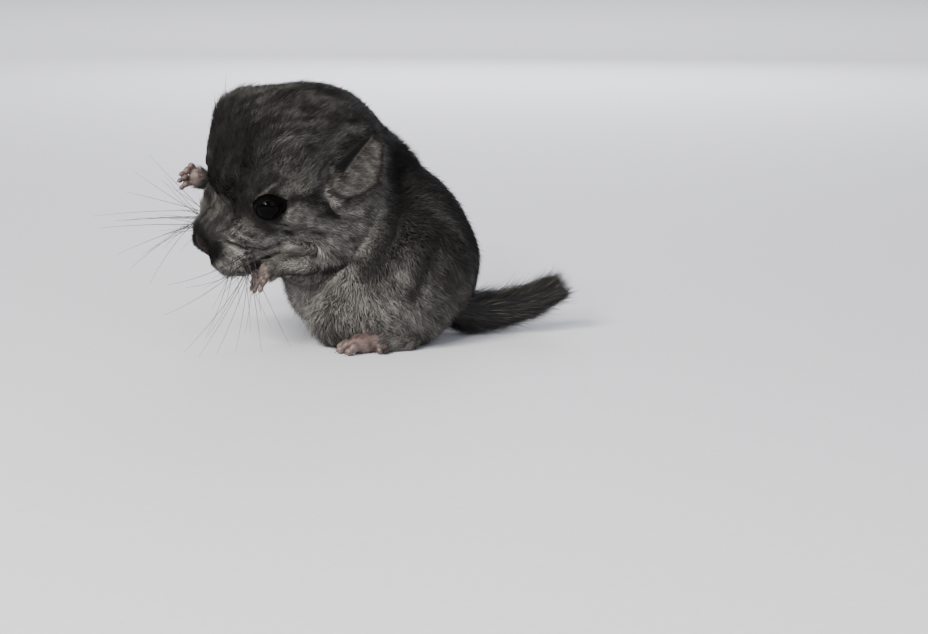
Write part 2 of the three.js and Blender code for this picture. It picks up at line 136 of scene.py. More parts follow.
@dataclass(frozen=True)
class HeadFrame:
    """The head's own frame: x to the nose, y to the left ear, z to the crown."""

    place: tuple[float, float, float] = (-15.8, -6.0, 47.8)
    heading: float = 27.0
    pitch: float = 16.0
    roll: float = 20.0

    def basis(self) -> Points:
        """The head's three axes in the pose's frame, one in each row."""
        heading, pitch, roll = (math.radians(a) for a in (self.heading, self.pitch, self.roll))
        flat = math.cos(pitch)
        ahead = -vec(flat * math.cos(heading), flat * math.sin(heading), math.sin(pitch))
        level = unit(np.cross(vec(0, 0, 1), ahead))
        over = np.cross(ahead, level)
        leftward = level * math.cos(roll) - over * math.sin(roll)
        return np.array([ahead, leftward, np.cross(ahead, leftward)])

    def out(self, points: Points) -> Points:
        """Places in the head's frame, moved to the pose's frame."""
        return np.asarray(points) @ self.basis() + vec(*self.place)

    def into(self, points: Points) -> Points:
        """Places in the pose's frame, moved to the head's frame."""
        return (np.asarray(points) - vec(*self.place)) @ self.basis().T

    def turn(self, vectors: Points) -> Points:
        """Directions in the head's frame, turned to the pose's frame."""
        return np.asarray(vectors) @ self.basis()


HEAD = HeadFrame()
EYE_PLACE = vec(15.3, 15.5, 5.4)
EYE_AXIS = unit(vec(0.46, 0.86, 0.16))
EYE_RADIUS = 4.4
NOSE = vec(31.9, 0.0, -10.4)
PAD_PLACE = vec(25.3, 8.0, -11.2)
TRUNK_MIDDLE = 2.0


def sided(point: Points, side: Side) -> Points:
    """The same place on the given side of the head's middle plane."""
    return np.asarray(point, float) * vec(1, side.value, 1)


def frame_offset() -> Points:
    """How far the CAD frame's origin lies from the pose's, found from the left eye."""
    low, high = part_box("eye_left")
    middle = np.array((low + high) / 2.0) / MM
    return middle - HEAD.out(EYE_PLACE)


OFFSET = frame_offset()


def to_frame(points: Points) -> Points:
    """Places in the pose's frame in millimetres, moved to the CAD frame in metres."""
    return (np.asarray(points, float) + OFFSET) * MM


# Soft forms. Each one knows its distance field and can lump itself into a mesh.


class Mass:
    """A soft form with a signed distance, negative inside."""

    def distance(self, points: Points) -> Points:
        """The signed distance from each point to the form."""
        raise NotImplementedError

    def bound(self) -> tuple[Points, float]:
        """The middle and the radius of a ball that holds the form."""
        raise NotImplementedError

    def lump(self, mesh: bmesh.types.BMesh, turn: Matrix) -> None:
        """Adds the form roughly to a mesh, as closed balls that overlap."""
        raise NotImplementedError


@dataclass(frozen=True)
class Ball(Mass):
    """An ellipsoid along the axes of its frame."""

    centre: tuple[float, float, float]
    radii: tuple[float, float, float]

    def distance(self, points: Points) -> Points:
        """The signed distance, close to true near the surface."""
        local = (points - vec(*self.centre)) / vec(*self.radii)
        far = np.linalg.norm(local, axis=1)
        steep = np.linalg.norm(local / vec(*self.radii), axis=1)
        return far * (far - 1.0) / np.maximum(steep, 1e-9)

    def bound(self) -> tuple[Points, float]:
        """The ellipsoid's middle and longest radius."""
        return vec(*self.centre), max(self.radii)

    def lump(self, mesh: bmesh.types.BMesh, turn: Matrix) -> None:
        """Adds the ellipsoid."""
        size = Matrix.Diagonal((*self.radii, 1.0))
        place = Matrix.Translation(Vector(self.centre))
        bmesh.ops.create_icosphere(mesh, subdivisions=4, radius=1.0, matrix=turn @ place @ size)


@dataclass(frozen=True)
class Limb(Mass):
    """A limb that tapers from one round end to the other."""

    start: tuple[float, float, float]
    end: tuple[float, float, float]
    start_radius: float
    end_radius: float

    def distance(self, points: Points) -> Points:
        """The signed distance to the tapered limb."""
        start, along = vec(*self.start), vec(*self.end) - vec(*self.start)
        share = np.clip((points - start) @ along / (along @ along), 0.0, 1.0)
        radius = self.start_radius + (self.end_radius - self.start_radius) * share
        return np.linalg.norm(points - start - share[:, None] * along, axis=1) - radius

    def bound(self) -> tuple[Points, float]:
        """The limb's middle and half its whole length."""
        start, end = vec(*self.start), vec(*self.end)
        half = float(np.linalg.norm(end - start)) / 2.0
        return (start + end) / 2.0, half + max(self.start_radius, self.end_radius)

    def lump(self, mesh: bmesh.types.BMesh, turn: Matrix) -> None:
        """Adds a row of balls along the limb."""
        steps = 7
        for i in range(steps):
            share = i / (steps - 1)
            radius = self.start_radius + (self.end_radius - self.start_radius) * share
            centre = Vector(self.start).lerp(Vector(self.end), share)
            placing = turn @ Matrix.Translation(centre)
            bmesh.ops.create_icosphere(mesh, subdivisions=3, radius=radius, matrix=placing)


@dataclass(frozen=True)
class Melt(Mass):
    """Several forms run together, with fillets about soft wide."""

    soft: float
    masses: tuple[Mass, ...]

    def distance(self, points: Points) -> Points:
        """The smooth union's signed distance."""
        found = self.masses[0].distance(points)
        for mass in self.masses[1:]:
            near = mass.distance(points)
            mix = np.clip(0.5 + 0.5 * (near - found) / self.soft, 0.0, 1.0)
            found = near + (found - near) * mix - self.soft * mix * (1.0 - mix)
        return found

    def lump(self, mesh: bmesh.types.BMesh, turn: Matrix) -> None:
        """Adds every form."""
        for mass in self.masses:
            mass.lump(mesh, turn)


@dataclass(frozen=True)
class Hollowed(Mass):
    """A form with a soft hollow pressed into it."""

    soft: float
    mass: Mass
    hollow: Mass

    def distance(self, points: Points) -> Points:
        """The signed distance with the hollow taken away."""
        found = self.mass.distance(points)
        centre, reach = self.hollow.bound()
        near = np.flatnonzero(((points - centre) ** 2).sum(1) < (reach + self.soft + 3.0) ** 2)
        if len(near):
            kept, cut = found[near], -self.hollow.distance(points[near])
            mix = np.clip(0.5 - 0.5 * (cut - kept) / self.soft, 0.0, 1.0)
            found[near] = cut + (kept - cut) * mix + self.soft * mix * (1.0 - mix)
        return found

    def lump(self, mesh: bmesh.types.BMesh, turn: Matrix) -> None:
        """Adds the form without its hollow."""
        self.mass.lump(mesh, turn)


@dataclass(frozen=True)
class OnHead(Mass):
    """A form drawn in the head's frame, which a ball about its middle holds."""

    mass: Mass
    middle: tuple[float, float, float] = (4.0, 0.0, -2.0)
    reach: float = 30.0
    margin: float = 11.0

    def distance(self, points: Points) -> Points:
        """The signed distance from points in the pose's frame, only rough where it is large."""
        local = HEAD.into(points)
        far = np.linalg.norm(local - vec(*self.middle), axis=1)
        found = far - self.reach
        near = np.flatnonzero(far < self.reach + self.margin)
        if len(near):
            found[near] = self.mass.distance(local[near])
        return found

    def lump(self, mesh: bmesh.types.BMesh, turn: Matrix) -> None:
        """Adds the form at the head's place."""
        basis = Matrix([list(row) for row in HEAD.basis().T]).to_4x4()
        self.mass.lump(mesh, turn @ Matrix.Translation(Vector(HEAD.place)) @ basis)


def triple(point: Points) -> tuple[float, float, float]:
    """An array of three numbers as a plain tuple."""
    return tuple(float(v) for v in point)


@dataclass(frozen=True)
class Flesh:
    """The whole animal's soft forms, drawn at the tips of its coat."""

    neck_fillet: float = 1.9
    limb_fillet: float = 3.0

    def head(self) -> Mass:
        """Skull, crown, cheeks and muzzle, with beds for the eyes and ears and grooves for nose and mouth."""
        both = (1, -1)
        masses: list[Mass] = [Ball((-5, 0, 3), (25, 25, 25))]
        masses += [Ball((4.5, 10 * s, 11.5), (16.5, 17, 15)) for s in both]
        masses += [Ball((12, 0, 8), (12, 14, 12))]
        masses += [Ball((-7, 14 * s, -10), (19, 13.5, 15)) for s in both]
        masses += [Ball((6, 8 * s, -13.5), (15, 9, 10)) for s in both]
        masses += [Limb((6, 0, -3), (24, 0, -8), 15, 8)]
        masses += [Ball((17, 7.5 * s, -4.5), (8, 8, 8)) for s in both]
        masses += [Ball(triple(PAD_PLACE * vec(1, s, 1)), (6.3, 6.8, 6.2)) for s in both]
        masses += [Ball((20, 0, -17.5), (6, 5.5, 3.6))]
        whole: Mass = Melt(5.0, tuple(masses))
        leather = [Ball(triple(NOSE + vec(-3, 0, 1)), (3.6, 3.2, 3.2))]
        leather += [Ball(triple(NOSE + vec(-1.5, 2 * s, 0.2)), (1.9, 1.7, 1.9)) for s in both]
        whole = Melt(1.6, (whole, *leather))
        for s in both:
            orbit = EYE_PLACE * vec(1, s, 1) + EYE_AXIS * vec(1, s, 1) * EYE_RADIUS * 1.8 + vec(0, 0, 2.2)
            whole = Hollowed(5.0, whole, Ball((-6, 29 * s, 18), (13, 9, 11.5)))
            whole = Hollowed(5.0, whole, Ball(triple(orbit), (8.5, 6.6, 8.5)))
        grooves = [(0.6, 0.6, 0.6, [vec(30.6, 0, -13), vec(29.4, 0, -15), vec(27.6, 0, -16.8)])]
        for s in both:
            comma = ((0.9, 0.9 * s, -0.9), (0.6, 2.3 * s, 0), (-1.2, 3.8 * s, 1.1))
            nostril = [NOSE + vec(*place) for place in comma]
            mouth = [vec(27.6, 0.2 * s, -16.4), vec(25.5, 4.5 * s, -17.6), vec(20, 9 * s, -18.6)]
            grooves += [(0.5, 0.55, 0.1, nostril), (0.8, 0.7, 0.6, mouth)]
        for soft, radius, inset, points in grooves:
            laid = settle(whole, np.array(points), -inset, 8)
            for start, end in zip(laid, laid[1:]):
                whole = Hollowed(soft, whole, Limb(triple(start), triple(end), radius, radius))
        return OnHead(whole)

    def trunk(self) -> Mass:
        """Hips, back and chest."""
        return Melt(
            9.0,
            (
                Ball((15, 2, 22), (24, 28, 23)),
                Ball((12, 3, 34), (19, 22, 19)),
                Ball((-6, 1, 20), (13, 17, 17)),
                Ball((-1, 3, 33), (16, 20, 22)),
                Ball((2, 4, 47.5), (15.5, 17, 16)),
            ),
        )

    def haunch(self, side: Side) -> Mass:
        """The folded thigh of one side."""
        return Melt(
            6.0,
            (
                Ball((12, TRUNK_MIDDLE - 16 * side.value, 14), (20, 12.5, 16)),
                Ball((-2, TRUNK_MIDDLE - 16 * side.value, 9), (11, 10, 10)),
            ),
        )

    def foreleg(self, side: Side) -> Mass:
        """Upper arm and forearm of one side."""
        if side is Side.LEFT:
            path, radii = ((-4, -12, 27), (-12, -17, 24.5), (-18.7, -20, 24.8)), (8.5, 5, 3.2)
        else:
            path, radii = ((-2, 19, 33), (-19, 27, 33), (-40, 19, 43)), (9, 5.5, 3.2)
        return Melt(3.0, (Limb(*path[:2], *radii[:2]), Limb(*path[1:], *radii[1:])))

    def tail_root(self) -> Mass:
        """The thick root of the tail."""
        return Limb((25, 3, 9), (36, 4, 6.3), 7.0, 3.8)

    def body(self) -> Mass:
        """Trunk, thighs and the root of the tail."""
        return Melt(4.0, (self.trunk(), self.haunch(Side.LEFT), self.haunch(Side.RIGHT), self.tail_root()))

    def whole(self) -> Mass:
        """Everything that one skin covers."""
        arms = (self.foreleg(Side.LEFT), self.foreleg(Side.RIGHT))
        return Melt(self.neck_fillet, (Melt(self.limb_fillet, (self.body(), *arms)), self.head()))


# The photograph's camera, and what one of its pixels meets.


@dataclass(frozen=True)
class StudioCamera:
    """The camera that frames the animal as the photograph does."""

    target: tuple[float, float, float] = (34.2, 0.0, 5.7)
    elevation: float = 11.0
    distance: float = 650.0
    pixel: float = 0.30
    sensor: float = 36.0

    def back(self) -> Points:
        """The direction from the target to the camera."""
        lift = math.radians(self.elevation)
        return vec(0, -math.cos(lift), math.sin(lift))

    def place(self) -> Points:
        """Where the camera stands in the pose's frame."""
        return vec(*self.target) + self.back() * self.distance

    def ray(self, column: float, row: float) -> Points:
        """The direction of one of the photograph's pixels.

        Args:
            column: The pixel's column.
            row: Its row, from the top.

        Returns:
            A unit direction in the pose's frame.
        """
        right, ahead = vec(1, 0, 0), -self.back()
        over = np.cross(right, ahead)
        reach = self.distance / self.pixel
        return unit(ahead * reach + right * (column - PHOTO_WIDTH / 2) - over * (row - PHOTO_HEIGHT / 2))

    def meets(self, mass: Mass, spots: Sequence[tuple[float, float]]) -> Points:
        """Where pixels fall on a form.

        Args:
            mass: The form that carries the places.
            spots: Column and row of each pixel.

        Returns:
            One place on the form for each pixel.
        """
        start = self.place()
        ways = np.array([self.ray(*spot) for spot in spots])
        # The steps start before the animal and stay short, as a form's distance is only close to true.
        lead, steps, longest, share = 120.0, 60, 8.0, 0.9
        reach = np.full(len(ways), self.distance - lead)
        for _ in range(steps):
            reach += np.minimum(mass.distance(start + reach[:, None] * ways), longest) * share
        return start + reach[:, None] * ways

    def build(self) -> None:
        """Makes the camera and gives it to the scene."""
        data = bpy.data.cameras.new("studio_camera")
        data.lens = self.sensor * (self.distance / self.pixel) / PHOTO_WIDTH
        data.sensor_width = self.sensor
        data.sensor_fit = "HORIZONTAL"
        data.clip_start, data.clip_end = 0.02, 20.0
        camera = bpy.data.objects.new("studio_camera", data)
        bpy.context.scene.collection.objects.link(camera)
        camera.location = Vector(to_frame(self.place()))
        camera.rotation_mode = "QUATERNION"
        camera.rotation_quaternion = Vector(-self.back()).to_track_quat("-Z", "Y")
        bpy.context.scene.camera = camera


# Materials.


def linear(hex_colour: str) -> tuple[float, float, float, float]:
    """An sRGB hex colour as the linear colour that shaders take.

    Args:
        hex_colour: Six hex digits.

    Returns:
        Red, green, blue and an alpha of one.
    """
    parts = [int(hex_colour[i : i + 2], 16) / 255 for i in (0, 2, 4)]
    red, green, blue = (p / 12.92 if p <= 0.04045 else ((p + 0.055) / 1.055) ** 2.4 for p in parts)
    return red, green, blue, 1.0


def node(
    material: bpy.types.Material,
    kind: str,
    settings: dict[str, object] | None = None,
    inputs: dict[str | int, object] | None = None,
) -> bpy.types.Node:
    """Adds one node with its settings and inputs.

    Args:
        material: The material that the node joins.
        kind: The node's type name, without its prefix.
        settings: Attributes of the node itself.
        inputs: What each input takes, by name or number: another node's output or a plain value.

    Returns:
        The new node.
    """
    tree = material.node_tree
    made = tree.nodes.new("ShaderNode" + kind)
    for name, value in (settings or {}).items():
        setattr(made, name, value)
    for name, source in (inputs or {}).items():
        if isinstance(source, bpy.types.NodeSocket):
            tree.links.new(source, made.inputs[name])
        else:
            made.inputs[name].default_value = source
    return made


def ramp(
    material: bpy.types.Material, source: bpy.types.NodeSocket, *stops: tuple[float, str]
) -> bpy.types.NodeSocket:
    """A colour ramp between hex colours.

    Args:
        material: The material that the ramp joins.
        source: The value that drives it.
        stops: Place from 0 to 1 and hex colour of each stop.

    Returns:
        The ramp's colour.
    """
    made = node(material, "ValToRGB", inputs={"Fac": source})
    bar = made.color_ramp
    while len(bar.elements) < len(stops):
        bar.elements.new(0.5)
    for element, (place, colour) in zip(bar.elements, stops):
        element.position = place
        element.color = linear(colour)
    return made.outputs["Color"]


def mixed(
    material: bpy.types.Material, low: object, high: object, share: object = 1.0, blend: str = "MULTIPLY"
) -> bpy.types.NodeSocket:
    """One colour mixed with another. The colours go by number, as the mix has inputs of other types too.

    Args:
        material: The material that the mix joins.
        low: The first colour.
        high: The colour that is laid over it.
        share: How much of the second colour is laid on.
        blend: The way of mixing.

    Returns:
        The mixed colour.
    """
    settings = {"data_type": "RGBA", "blend_type": blend}
    return node(material, "Mix", settings, {"Factor": share, 6: low, 7: high}).outputs[2]


def noise(
    material: bpy.types.Material, place: bpy.types.NodeSocket, size: float, detail: float
) -> bpy.types.NodeSocket:
    """Soft noise in patches.

    Args:
        material: The material that the noise joins.
        place: The place that it is read at.
        size: The width of one patch in metres.
        detail: How many finer layers lie on it.

    Returns:
        The noise's value.
    """
    inputs = {"Scale": 1 / size, "Detail": detail, "Vector": place}
    return node(material, "TexNoise", inputs=inputs).outputs["Fac"]


@dataclass(frozen=True)
class Finish:
    """What every finish shares: its name, how to start its material, and how to colour and raise it."""

    title: str

    def start(self) -> tuple[bpy.types.Material, bpy.types.Node]:
        """An empty material and its Principled shader."""
        material = bpy.data.materials.new(self.title)
        material.use_nodes = True
        return material, material.node_tree.nodes["Principled BSDF"]

    def make(self) -> bpy.types.Material:
        """Builds the material."""
        raise NotImplementedError

    @staticmethod
    def object_place(material: bpy.types.Material) -> bpy.types.NodeSocket:
        """Object coordinates, in metres."""
        return node(material, "TexCoord").outputs["Object"]

    @staticmethod
    def tone(material: bpy.types.Material, name: str) -> bpy.types.Node:
        """The three channels of a piece's own attribute."""
        source = node(material, "Attribute", {"attribute_name": name})
        return node(material, "SeparateColor", inputs={"Color": source.outputs["Color"]})

    @staticmethod
    def colour(material: bpy.types.Material, shader: bpy.types.Node, source: bpy.types.NodeSocket) -> None:
        """Gives the shader its colour."""
        material.node_tree.links.new(source, shader.inputs["Base Color"])

    @staticmethod
    def bump(
        material: bpy.types.Material,
        shader: bpy.types.Node,
        height: bpy.types.NodeSocket,
        strength: float,
        rise: float,
    ) -> None:
        """Gives the shader a fine relief.

        Args:
            material: The material.
            shader: Its shader.
            height: What the relief follows.
            strength: How much of it counts.
            rise: Its full height in metres.
        """
        raised = node(material, "Bump", inputs={"Strength": strength, "Distance": rise, "Height": height})
        material.node_tree.links.new(raised.outputs["Normal"], shader.inputs["Normal"])


@dataclass(frozen=True)
class CoatHair(Finish):
    """Dense plush hair: each tuft is slate at its root, with painted shade there, paler along its middle band
    and dark at its tip.
    """

    title: str = "plush_chinchilla_hair"
    dark: str = "121110"
    deep: str = "3e3c3a"
    middle: str = "7a7874"
    pale: str = "b0ada8"
    white: str = "e2ded8"
    roughness: float = 0.62

    def make(self) -> bpy.types.Material:
        """Builds the hair material from the coat's marking, rise and strand."""
        material, shader = self.start()
        tone = self.tone(material, "coat_tone")
        shades = (self.dark, self.deep, self.middle, self.pale, self.white)
        mark = ramp(material, tone.outputs["Red"], *zip((0.0, 0.28, 0.55, 0.8, 1.0), shades))
        # Painted shade and the hair's own slate darken the root; the last part of the tip is dark, as each
        # hair is banded.
        stops = ((0.0, "7c7c7a"), (0.35, "c8c8c5"), (0.72, "ffffff"), (1.0, "b6b5b0"))
        root_shade_and_band = ramp(material, tone.outputs["Green"], *stops)
        strand = ramp(material, tone.outputs["Blue"], (0.0, "8a8987"), (0.5, "d2d1ce"), (1.0, "ffffff"))
        self.colour(material, shader, mixed(material, mixed(material, mark, root_shade_and_band), strand))
        shader.inputs["Roughness"].default_value = self.roughness
        shader.inputs["Specular IOR Level"].default_value = 0.14
        return material


@dataclass(frozen=True)
class CoatSkin(Finish):
    """Skin under the coat: dark felt of underfur marked as the coat is, and bare leather at nose and lips."""

    title: str = "underfur_and_nose_leather"
    felt_roughness: float = 0.85
    leather_roughness: float = 0.62

    def make(self) -> bpy.types.Material:
        """Builds the skin: markings from the coat's own tone, and leather where its third channel says."""
        material, shader = self.start()
        tone = self.tone(material, "coat_tone")
        bare = tone.outputs["Blue"]
        stops = ((0.0, "161514"), (0.3, "312f2d"), (0.6, "5b5955"), (1.0, "a09b94"))
        under = ramp(material, tone.outputs["Red"], *stops)
        place = self.object_place(material)
        # Nose leather is a dark wine pebble grain, about 0.35 mm from bump to bump.
        inputs = {"Scale": 1 / 0.00035, "Randomness": 1.0, "Vector": place}
        pebble = node(material, "TexVoronoi", {"feature": "F1"}, inputs).outputs["Distance"]
        leather = ramp(material, pebble, (0.0, "1d1211"), (0.6, "140c0c"), (1.0, "090505"))
        self.colour(material, shader, mixed(material, under, leather, bare, "MIX"))
        inputs = {"To Min": self.felt_roughness, "To Max": self.leather_roughness, "Value": bare}
        rough = node(material, "MapRange", inputs=inputs)
        material.node_tree.links.new(rough.outputs["Result"], shader.inputs["Roughness"])
        shader.inputs["Specular IOR Level"].default_value = 0.06
        inputs = {"Factor": bare, 2: noise(material, place, 0.0006, 3.0), 3: pebble}
        height = node(material, "Mix", {"data_type": "FLOAT"}, inputs)
        self.bump(material, shader, height.outputs[0], 0.6, 0.00012)
        return material


@dataclass(frozen=True)
class BareSkin(Finish):
    """Bare pink skin of the paws: fine ringed creases, flushed patches, a soft light that goes in."""

    title: str = "bare_pink_paw_skin"
    pale: str = "75655f"
    middle: str = "60514b"
    flush: str = "3f312d"

    def make(self) -> bpy.types.Material:
        """Builds the pink skin."""
        material, shader = self.start()
        place = self.object_place(material)
        patches = noise(material, place, 0.0028, 4.0)
        colour = ramp(material, patches, (0.3, self.flush), (0.48, self.middle), (0.68, self.pale))
        # Ringed scales across the fingers and soles, about 0.55 mm each.
        inputs = {"Scale": 1 / 0.00055, "Vector": place}
        scales = node(material, "TexVoronoi", {"feature": "DISTANCE_TO_EDGE"}, inputs).outputs["Distance"]
        crease = ramp(material, scales, (0.0, "9b7475"), (0.12, "ffffff"))
        self.colour(material, shader, mixed(material, colour, crease, 0.75))
        self.bump(material, shader, scales, 0.7, 0.0001)
        shader.inputs["Roughness"].default_value = 0.48
        shader.inputs["Subsurface Weight"].default_value = 0.25
        shader.inputs["Subsurface Radius"].default_value = (1.0, 0.35, 0.25)
        shader.inputs["Subsurface Scale"].default_value = 0.0012
        return material


@dataclass(frozen=True)
class EarLeather(Finish):
    """Thin ear skin: grey-pink, with painted shade darkening it towards its rim and in the mouth of the ear.
    """

    title: str = "thin_ear_skin"

    def make(self) -> bpy.types.Material:
        """Builds the ear skin from the ear's own tone: painted rim shade in red, painted shade of the hollow
        and the root in green.
        """
        material, shader = self.start()
        tone = self.tone(material, "ear_tone")
        veins = noise(material, self.object_place(material), 0.002, 5.0)
        base = ramp(material, veins, (0.3, "322f2d"), (0.5, "3f3b39"), (0.7, "4b4643"))
        # Painted shade darkens the rim and makes the mouth of the ear nearly black.
        rim = mixed(material, base, linear("2b2827"), tone.outputs["Red"], "MIX")
        mouth = mixed(material, rim, linear("080706"), tone.outputs["Green"], "MIX")
        self.colour(material, shader, mouth)
        self.bump(material, shader, veins, 0.4, 0.0001)
        shader.inputs["Roughness"].default_value = 0.65
        shader.inputs["Specular IOR Level"].default_value = 0.12
        shader.inputs["Subsurface Weight"].default_value = 0.1
        shader.inputs["Subsurface Radius"].default_value = (1.0, 0.4, 0.3)
        shader.inputs["Subsurface Scale"].default_value = 0.001
        return material


@dataclass(frozen=True)
class WetEye(Finish):
    """A wet dark eye: black pupil in a nearly black brown iris, under a clear cornea."""

    title: str = "wet_dark_eye"

    def make(self) -> bpy.types.Material:
        """Builds the eye from its own tone, the distance from the pupil."""
        material, shader = self.start()
        tone = self.tone(material, "eye_tone")
        stops = ((0.0, "010101"), (0.42, "020202"), (0.55, "0b0807"), (0.8, "060504"), (1.0, "020202"))
        self.colour(material, shader, ramp(material, tone.outputs["Red"], *stops))
        shader.inputs["Roughness"].default_value = 0.2
        shader.inputs["Specular IOR Level"].default_value = 0.0
        shader.inputs["Coat Weight"].default_value = 0.2
        shader.inputs["Coat Roughness"].default_value = 0.02
        shader.inputs["Coat IOR"].default_value = 1.336
        return material


@dataclass(frozen=True)
class LidSkin(Finish):
    """Moist black skin of the eyelids, finely wrinkled."""

    title: str = "moist_eyelid_skin"

    def make(self) -> bpy.types.Material:
        """Builds the lid skin."""
        material, shader = self.start()
        wrinkles = noise(material, self.object_place(material), 0.0007, 3.0)
        self.colour(material, shader, ramp(material, wrinkles, (0.35, "020202"), (0.65, "060505")))
        self.bump(material, shader, wrinkles, 0.5, 0.0001)
        shader.inputs["Roughness"].default_value = 0.6
        shader.inputs["Specular IOR Level"].default_value = 0.04
        return material


@dataclass(frozen=True)
class WhiskerHair(Finish):
    """Stiff smooth whisker hair, from black to straw white by the whisker's own tone."""

    title: str = "stiff_whisker_hair"

    def make(self) -> bpy.types.Material:
        """Builds the whisker hair."""
        material, shader = self.start()
        tone = self.tone(material, "hair_tone")
        stops = ((0.0, "141212"), (0.45, "3a3634"), (0.7, "a39c94"), (1.0, "e6e0d8"))
        self.colour(material, shader, ramp(material, tone.outputs["Red"], *stops))
        shader.inputs["Roughness"].default_value = 0.35
        return material


@dataclass(frozen=True)
class TailHair(Finish):
    """Long coarse guard hair of the tail, near black with paler brown tips among it."""

    title: str = "coarse_tail_hair"

    def make(self) -> bpy.types.Material:
        """Builds the tail hair from rise and strand."""
        material, shader = self.start()
        tone = self.tone(material, "coat_tone")
        stops = ((0.0, "0f0e0c"), (0.55, "1d1b18"), (0.85, "423c34"), (1.0, "776d5f"))
        base = ramp(material, tone.outputs["Blue"], *stops)
        # Painted shade darkens each hair towards its root, deep in the tail's brush.
        root_shade_and_band = ramp(material, tone.outputs["Green"], (0.0, "6a6a6a"), (0.5, "d8d8d8"), (1.0, "ffffff"))
        self.colour(material, shader, mixed(material, base, root_shade_and_band))
        shader.inputs["Roughness"].default_value = 0.48
        shader.inputs["Specular IOR Level"].default_value = 0.4
        return material


@dataclass(frozen=True)
class ClawHorn(Finish):
    """Small blunt claws of brown horn, in soft layers of lighter and darker brown."""

    title: str = "brown_claw_horn"

    def make(self) -> bpy.types.Material:
        """Builds the horn."""
        material, shader = self.start()
        layers = noise(material, self.object_place(material), 0.0009, 2.0)
        self.colour(material, shader, ramp(material, layers, (0.35, "2e2322"), (0.7, "5d4743")))
        shader.inputs["Roughness"].default_value = 0.32
        return material


@dataclass(frozen=True)
class StudioPaper(Finish):
    """Matt pale paper of the studio floor."""

    title: str = "studio_floor_paper"

    def make(self) -> bpy.types.Material:
        """Builds the paper with the faintest tooth."""
        material, shader = self.start()
        tooth = noise(material, self.object_place(material), 0.0025, 2.0)
        self.colour(material, shader, ramp(material, tooth, (0.3, "d6d6da"), (0.7, "dadade")))
        shader.inputs["Roughness"].default_value = 0.8
        return material


# Mesh helpers.


def finish_piece(
    name: str,
    data: bpy.types.Mesh,
    material: bpy.types.Material,
    nodes: Sequence[str] = (),
) -> None:
    """Links a finished mesh as a piece that rides on the body.

    Args:
        name: The piece's name.
        data: Its mesh, in metres in the CAD frame.
        material: Its material.
        nodes: The CAD nodes that it replaces.
    """
    data.name = name
    data.materials.clear()
    data.materials.append(material)
    piece = bpy.data.objects.new(name, data)
    bpy.context.scene.collection.objects.link(piece)
    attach(piece, "root")
    if nodes:
        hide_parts(*nodes)
    LOG.info("%s: %d faces", name, len(data.polygons))


def read_points(data: bpy.types.Mesh) -> Points:
    """The corners of a mesh as an array."""
    flat = np.empty(len(data.vertices) * 3, np.float32)
    data.vertices.foreach_get("co", flat)
    return flat.reshape(-1, 3).astype(float)


def write_points(data: bpy.types.Mesh, points: Points) -> None:
    """Moves the corners of a mesh to new places."""
    data.vertices.foreach_set("co", points.astype(np.float32).ravel())
    data.update()


def paint(data: bpy.types.Mesh, name: str, channels: Points) -> None:
    """Stores up to three values for each corner as an attribute.

    Args:
        data: The mesh.
        name: The attribute's name.
        channels: One row of up to three values for each corner.
    """
    colours = np.ones((len(channels), 4), np.float32)
    colours[:, : channels.shape[1]] = channels
    attribute = data.attributes.new(name, "FLOAT_COLOR", "POINT")
    attribute.data.foreach_set("color", colours.ravel())


def as_mesh(mesh: bmesh.types.BMesh, name: str, smooth: bool = True) -> bpy.types.Mesh:
    """Turns a bmesh into mesh data and frees it."""
    data = bpy.data.meshes.new(name)
    for face in mesh.faces:
        face.smooth = smooth
    mesh.to_mesh(data)
    mesh.free()
    return data


def remeshed(mesh: bmesh.types.BMesh, voxel: float) -> bpy.types.Mesh:
    """Runs overlapping closed forms together into one surface.

    Args:
        mesh: The forms, in millimetres. It is freed.
        voxel: The grid's size in millimetres.

    Returns:
        One closed mesh of even quads.
    """
    holder = bpy.data.objects.new("remesh_holder", as_mesh(mesh, "remesh_source"))
    bpy.context.scene.collection.objects.link(holder)
    modifier = holder.modifiers.new("remesh", "REMESH")
    modifier.mode = "VOXEL"
    modifier.voxel_size = voxel
    modifier.use_smooth_shade = True
    graph = bpy.context.evaluated_depsgraph_get()
    data = bpy.data.meshes.new_from_object(holder.evaluated_get(graph))
    source = holder.data
    bpy.data.objects.remove(holder)
    bpy.data.meshes.remove(source)
    return data


def relax(points: Points, edges: Points, share: float) -> Points:
    """Moves each corner part of the way to the middle of its neighbours."""
    count = np.bincount(edges.ravel(), minlength=len(points))[:, None]
    total = np.zeros_like(points)
    for axis in range(3):
        total[:, axis] = np.bincount(edges[:, 0], points[edges[:, 1], axis], len(points))
        total[:, axis] += np.bincount(edges[:, 1], points[edges[:, 0], axis], len(points))
    return points + share * (total / np.maximum(count, 1) - points)


def slope(mass: Mass, points: Points, here: Points | None = None) -> Points:
    """The way in which the distance to a form grows, at each point.

    Args:
        mass: The form.
        points: Places in millimetres.
        here: The distances at those places, where they are known.

    Returns:
        One vector for each point.
    """
    nudge = 0.04
    here = mass.distance(points) if here is None else here
    rises = [mass.distance(points + nudge * axis) - here for axis in np.eye(3)]
    return np.stack([rise / nudge for rise in rises], axis=1)


def settle(mass: Mass, points: Points, level: Points | float, rounds: int = 5) -> Points:
    """Moves points along the steepest way to lie level outside a form.

    Args:
        mass: The form.
        points: Where they start, in millimetres.
        level: How far outside the form they end, negative inside.
        rounds: How many steps are taken.

    Returns:
        The settled points.
    """
    least_slope, longest_step = 0.5, 2.0
    for _ in range(rounds):
        here = mass.distance(points)
        way = slope(mass, points, here)
        off = here - level
        step = off[:, None] * way / np.maximum((way * way).sum(1, keepdims=True), least_slope**2)
        size = np.linalg.norm(step, axis=1, keepdims=True)
        points = points - step * np.minimum(1.0, longest_step / np.maximum(size, 1e-9))
    return points


def edge_pairs(data: bpy.types.Mesh) -> Points:
    """The corner numbers of every edge."""
    flat = np.empty(len(data.edges) * 2, np.int32)
    data.edges.foreach_get("vertices", flat)
    return flat.reshape(-1, 2)


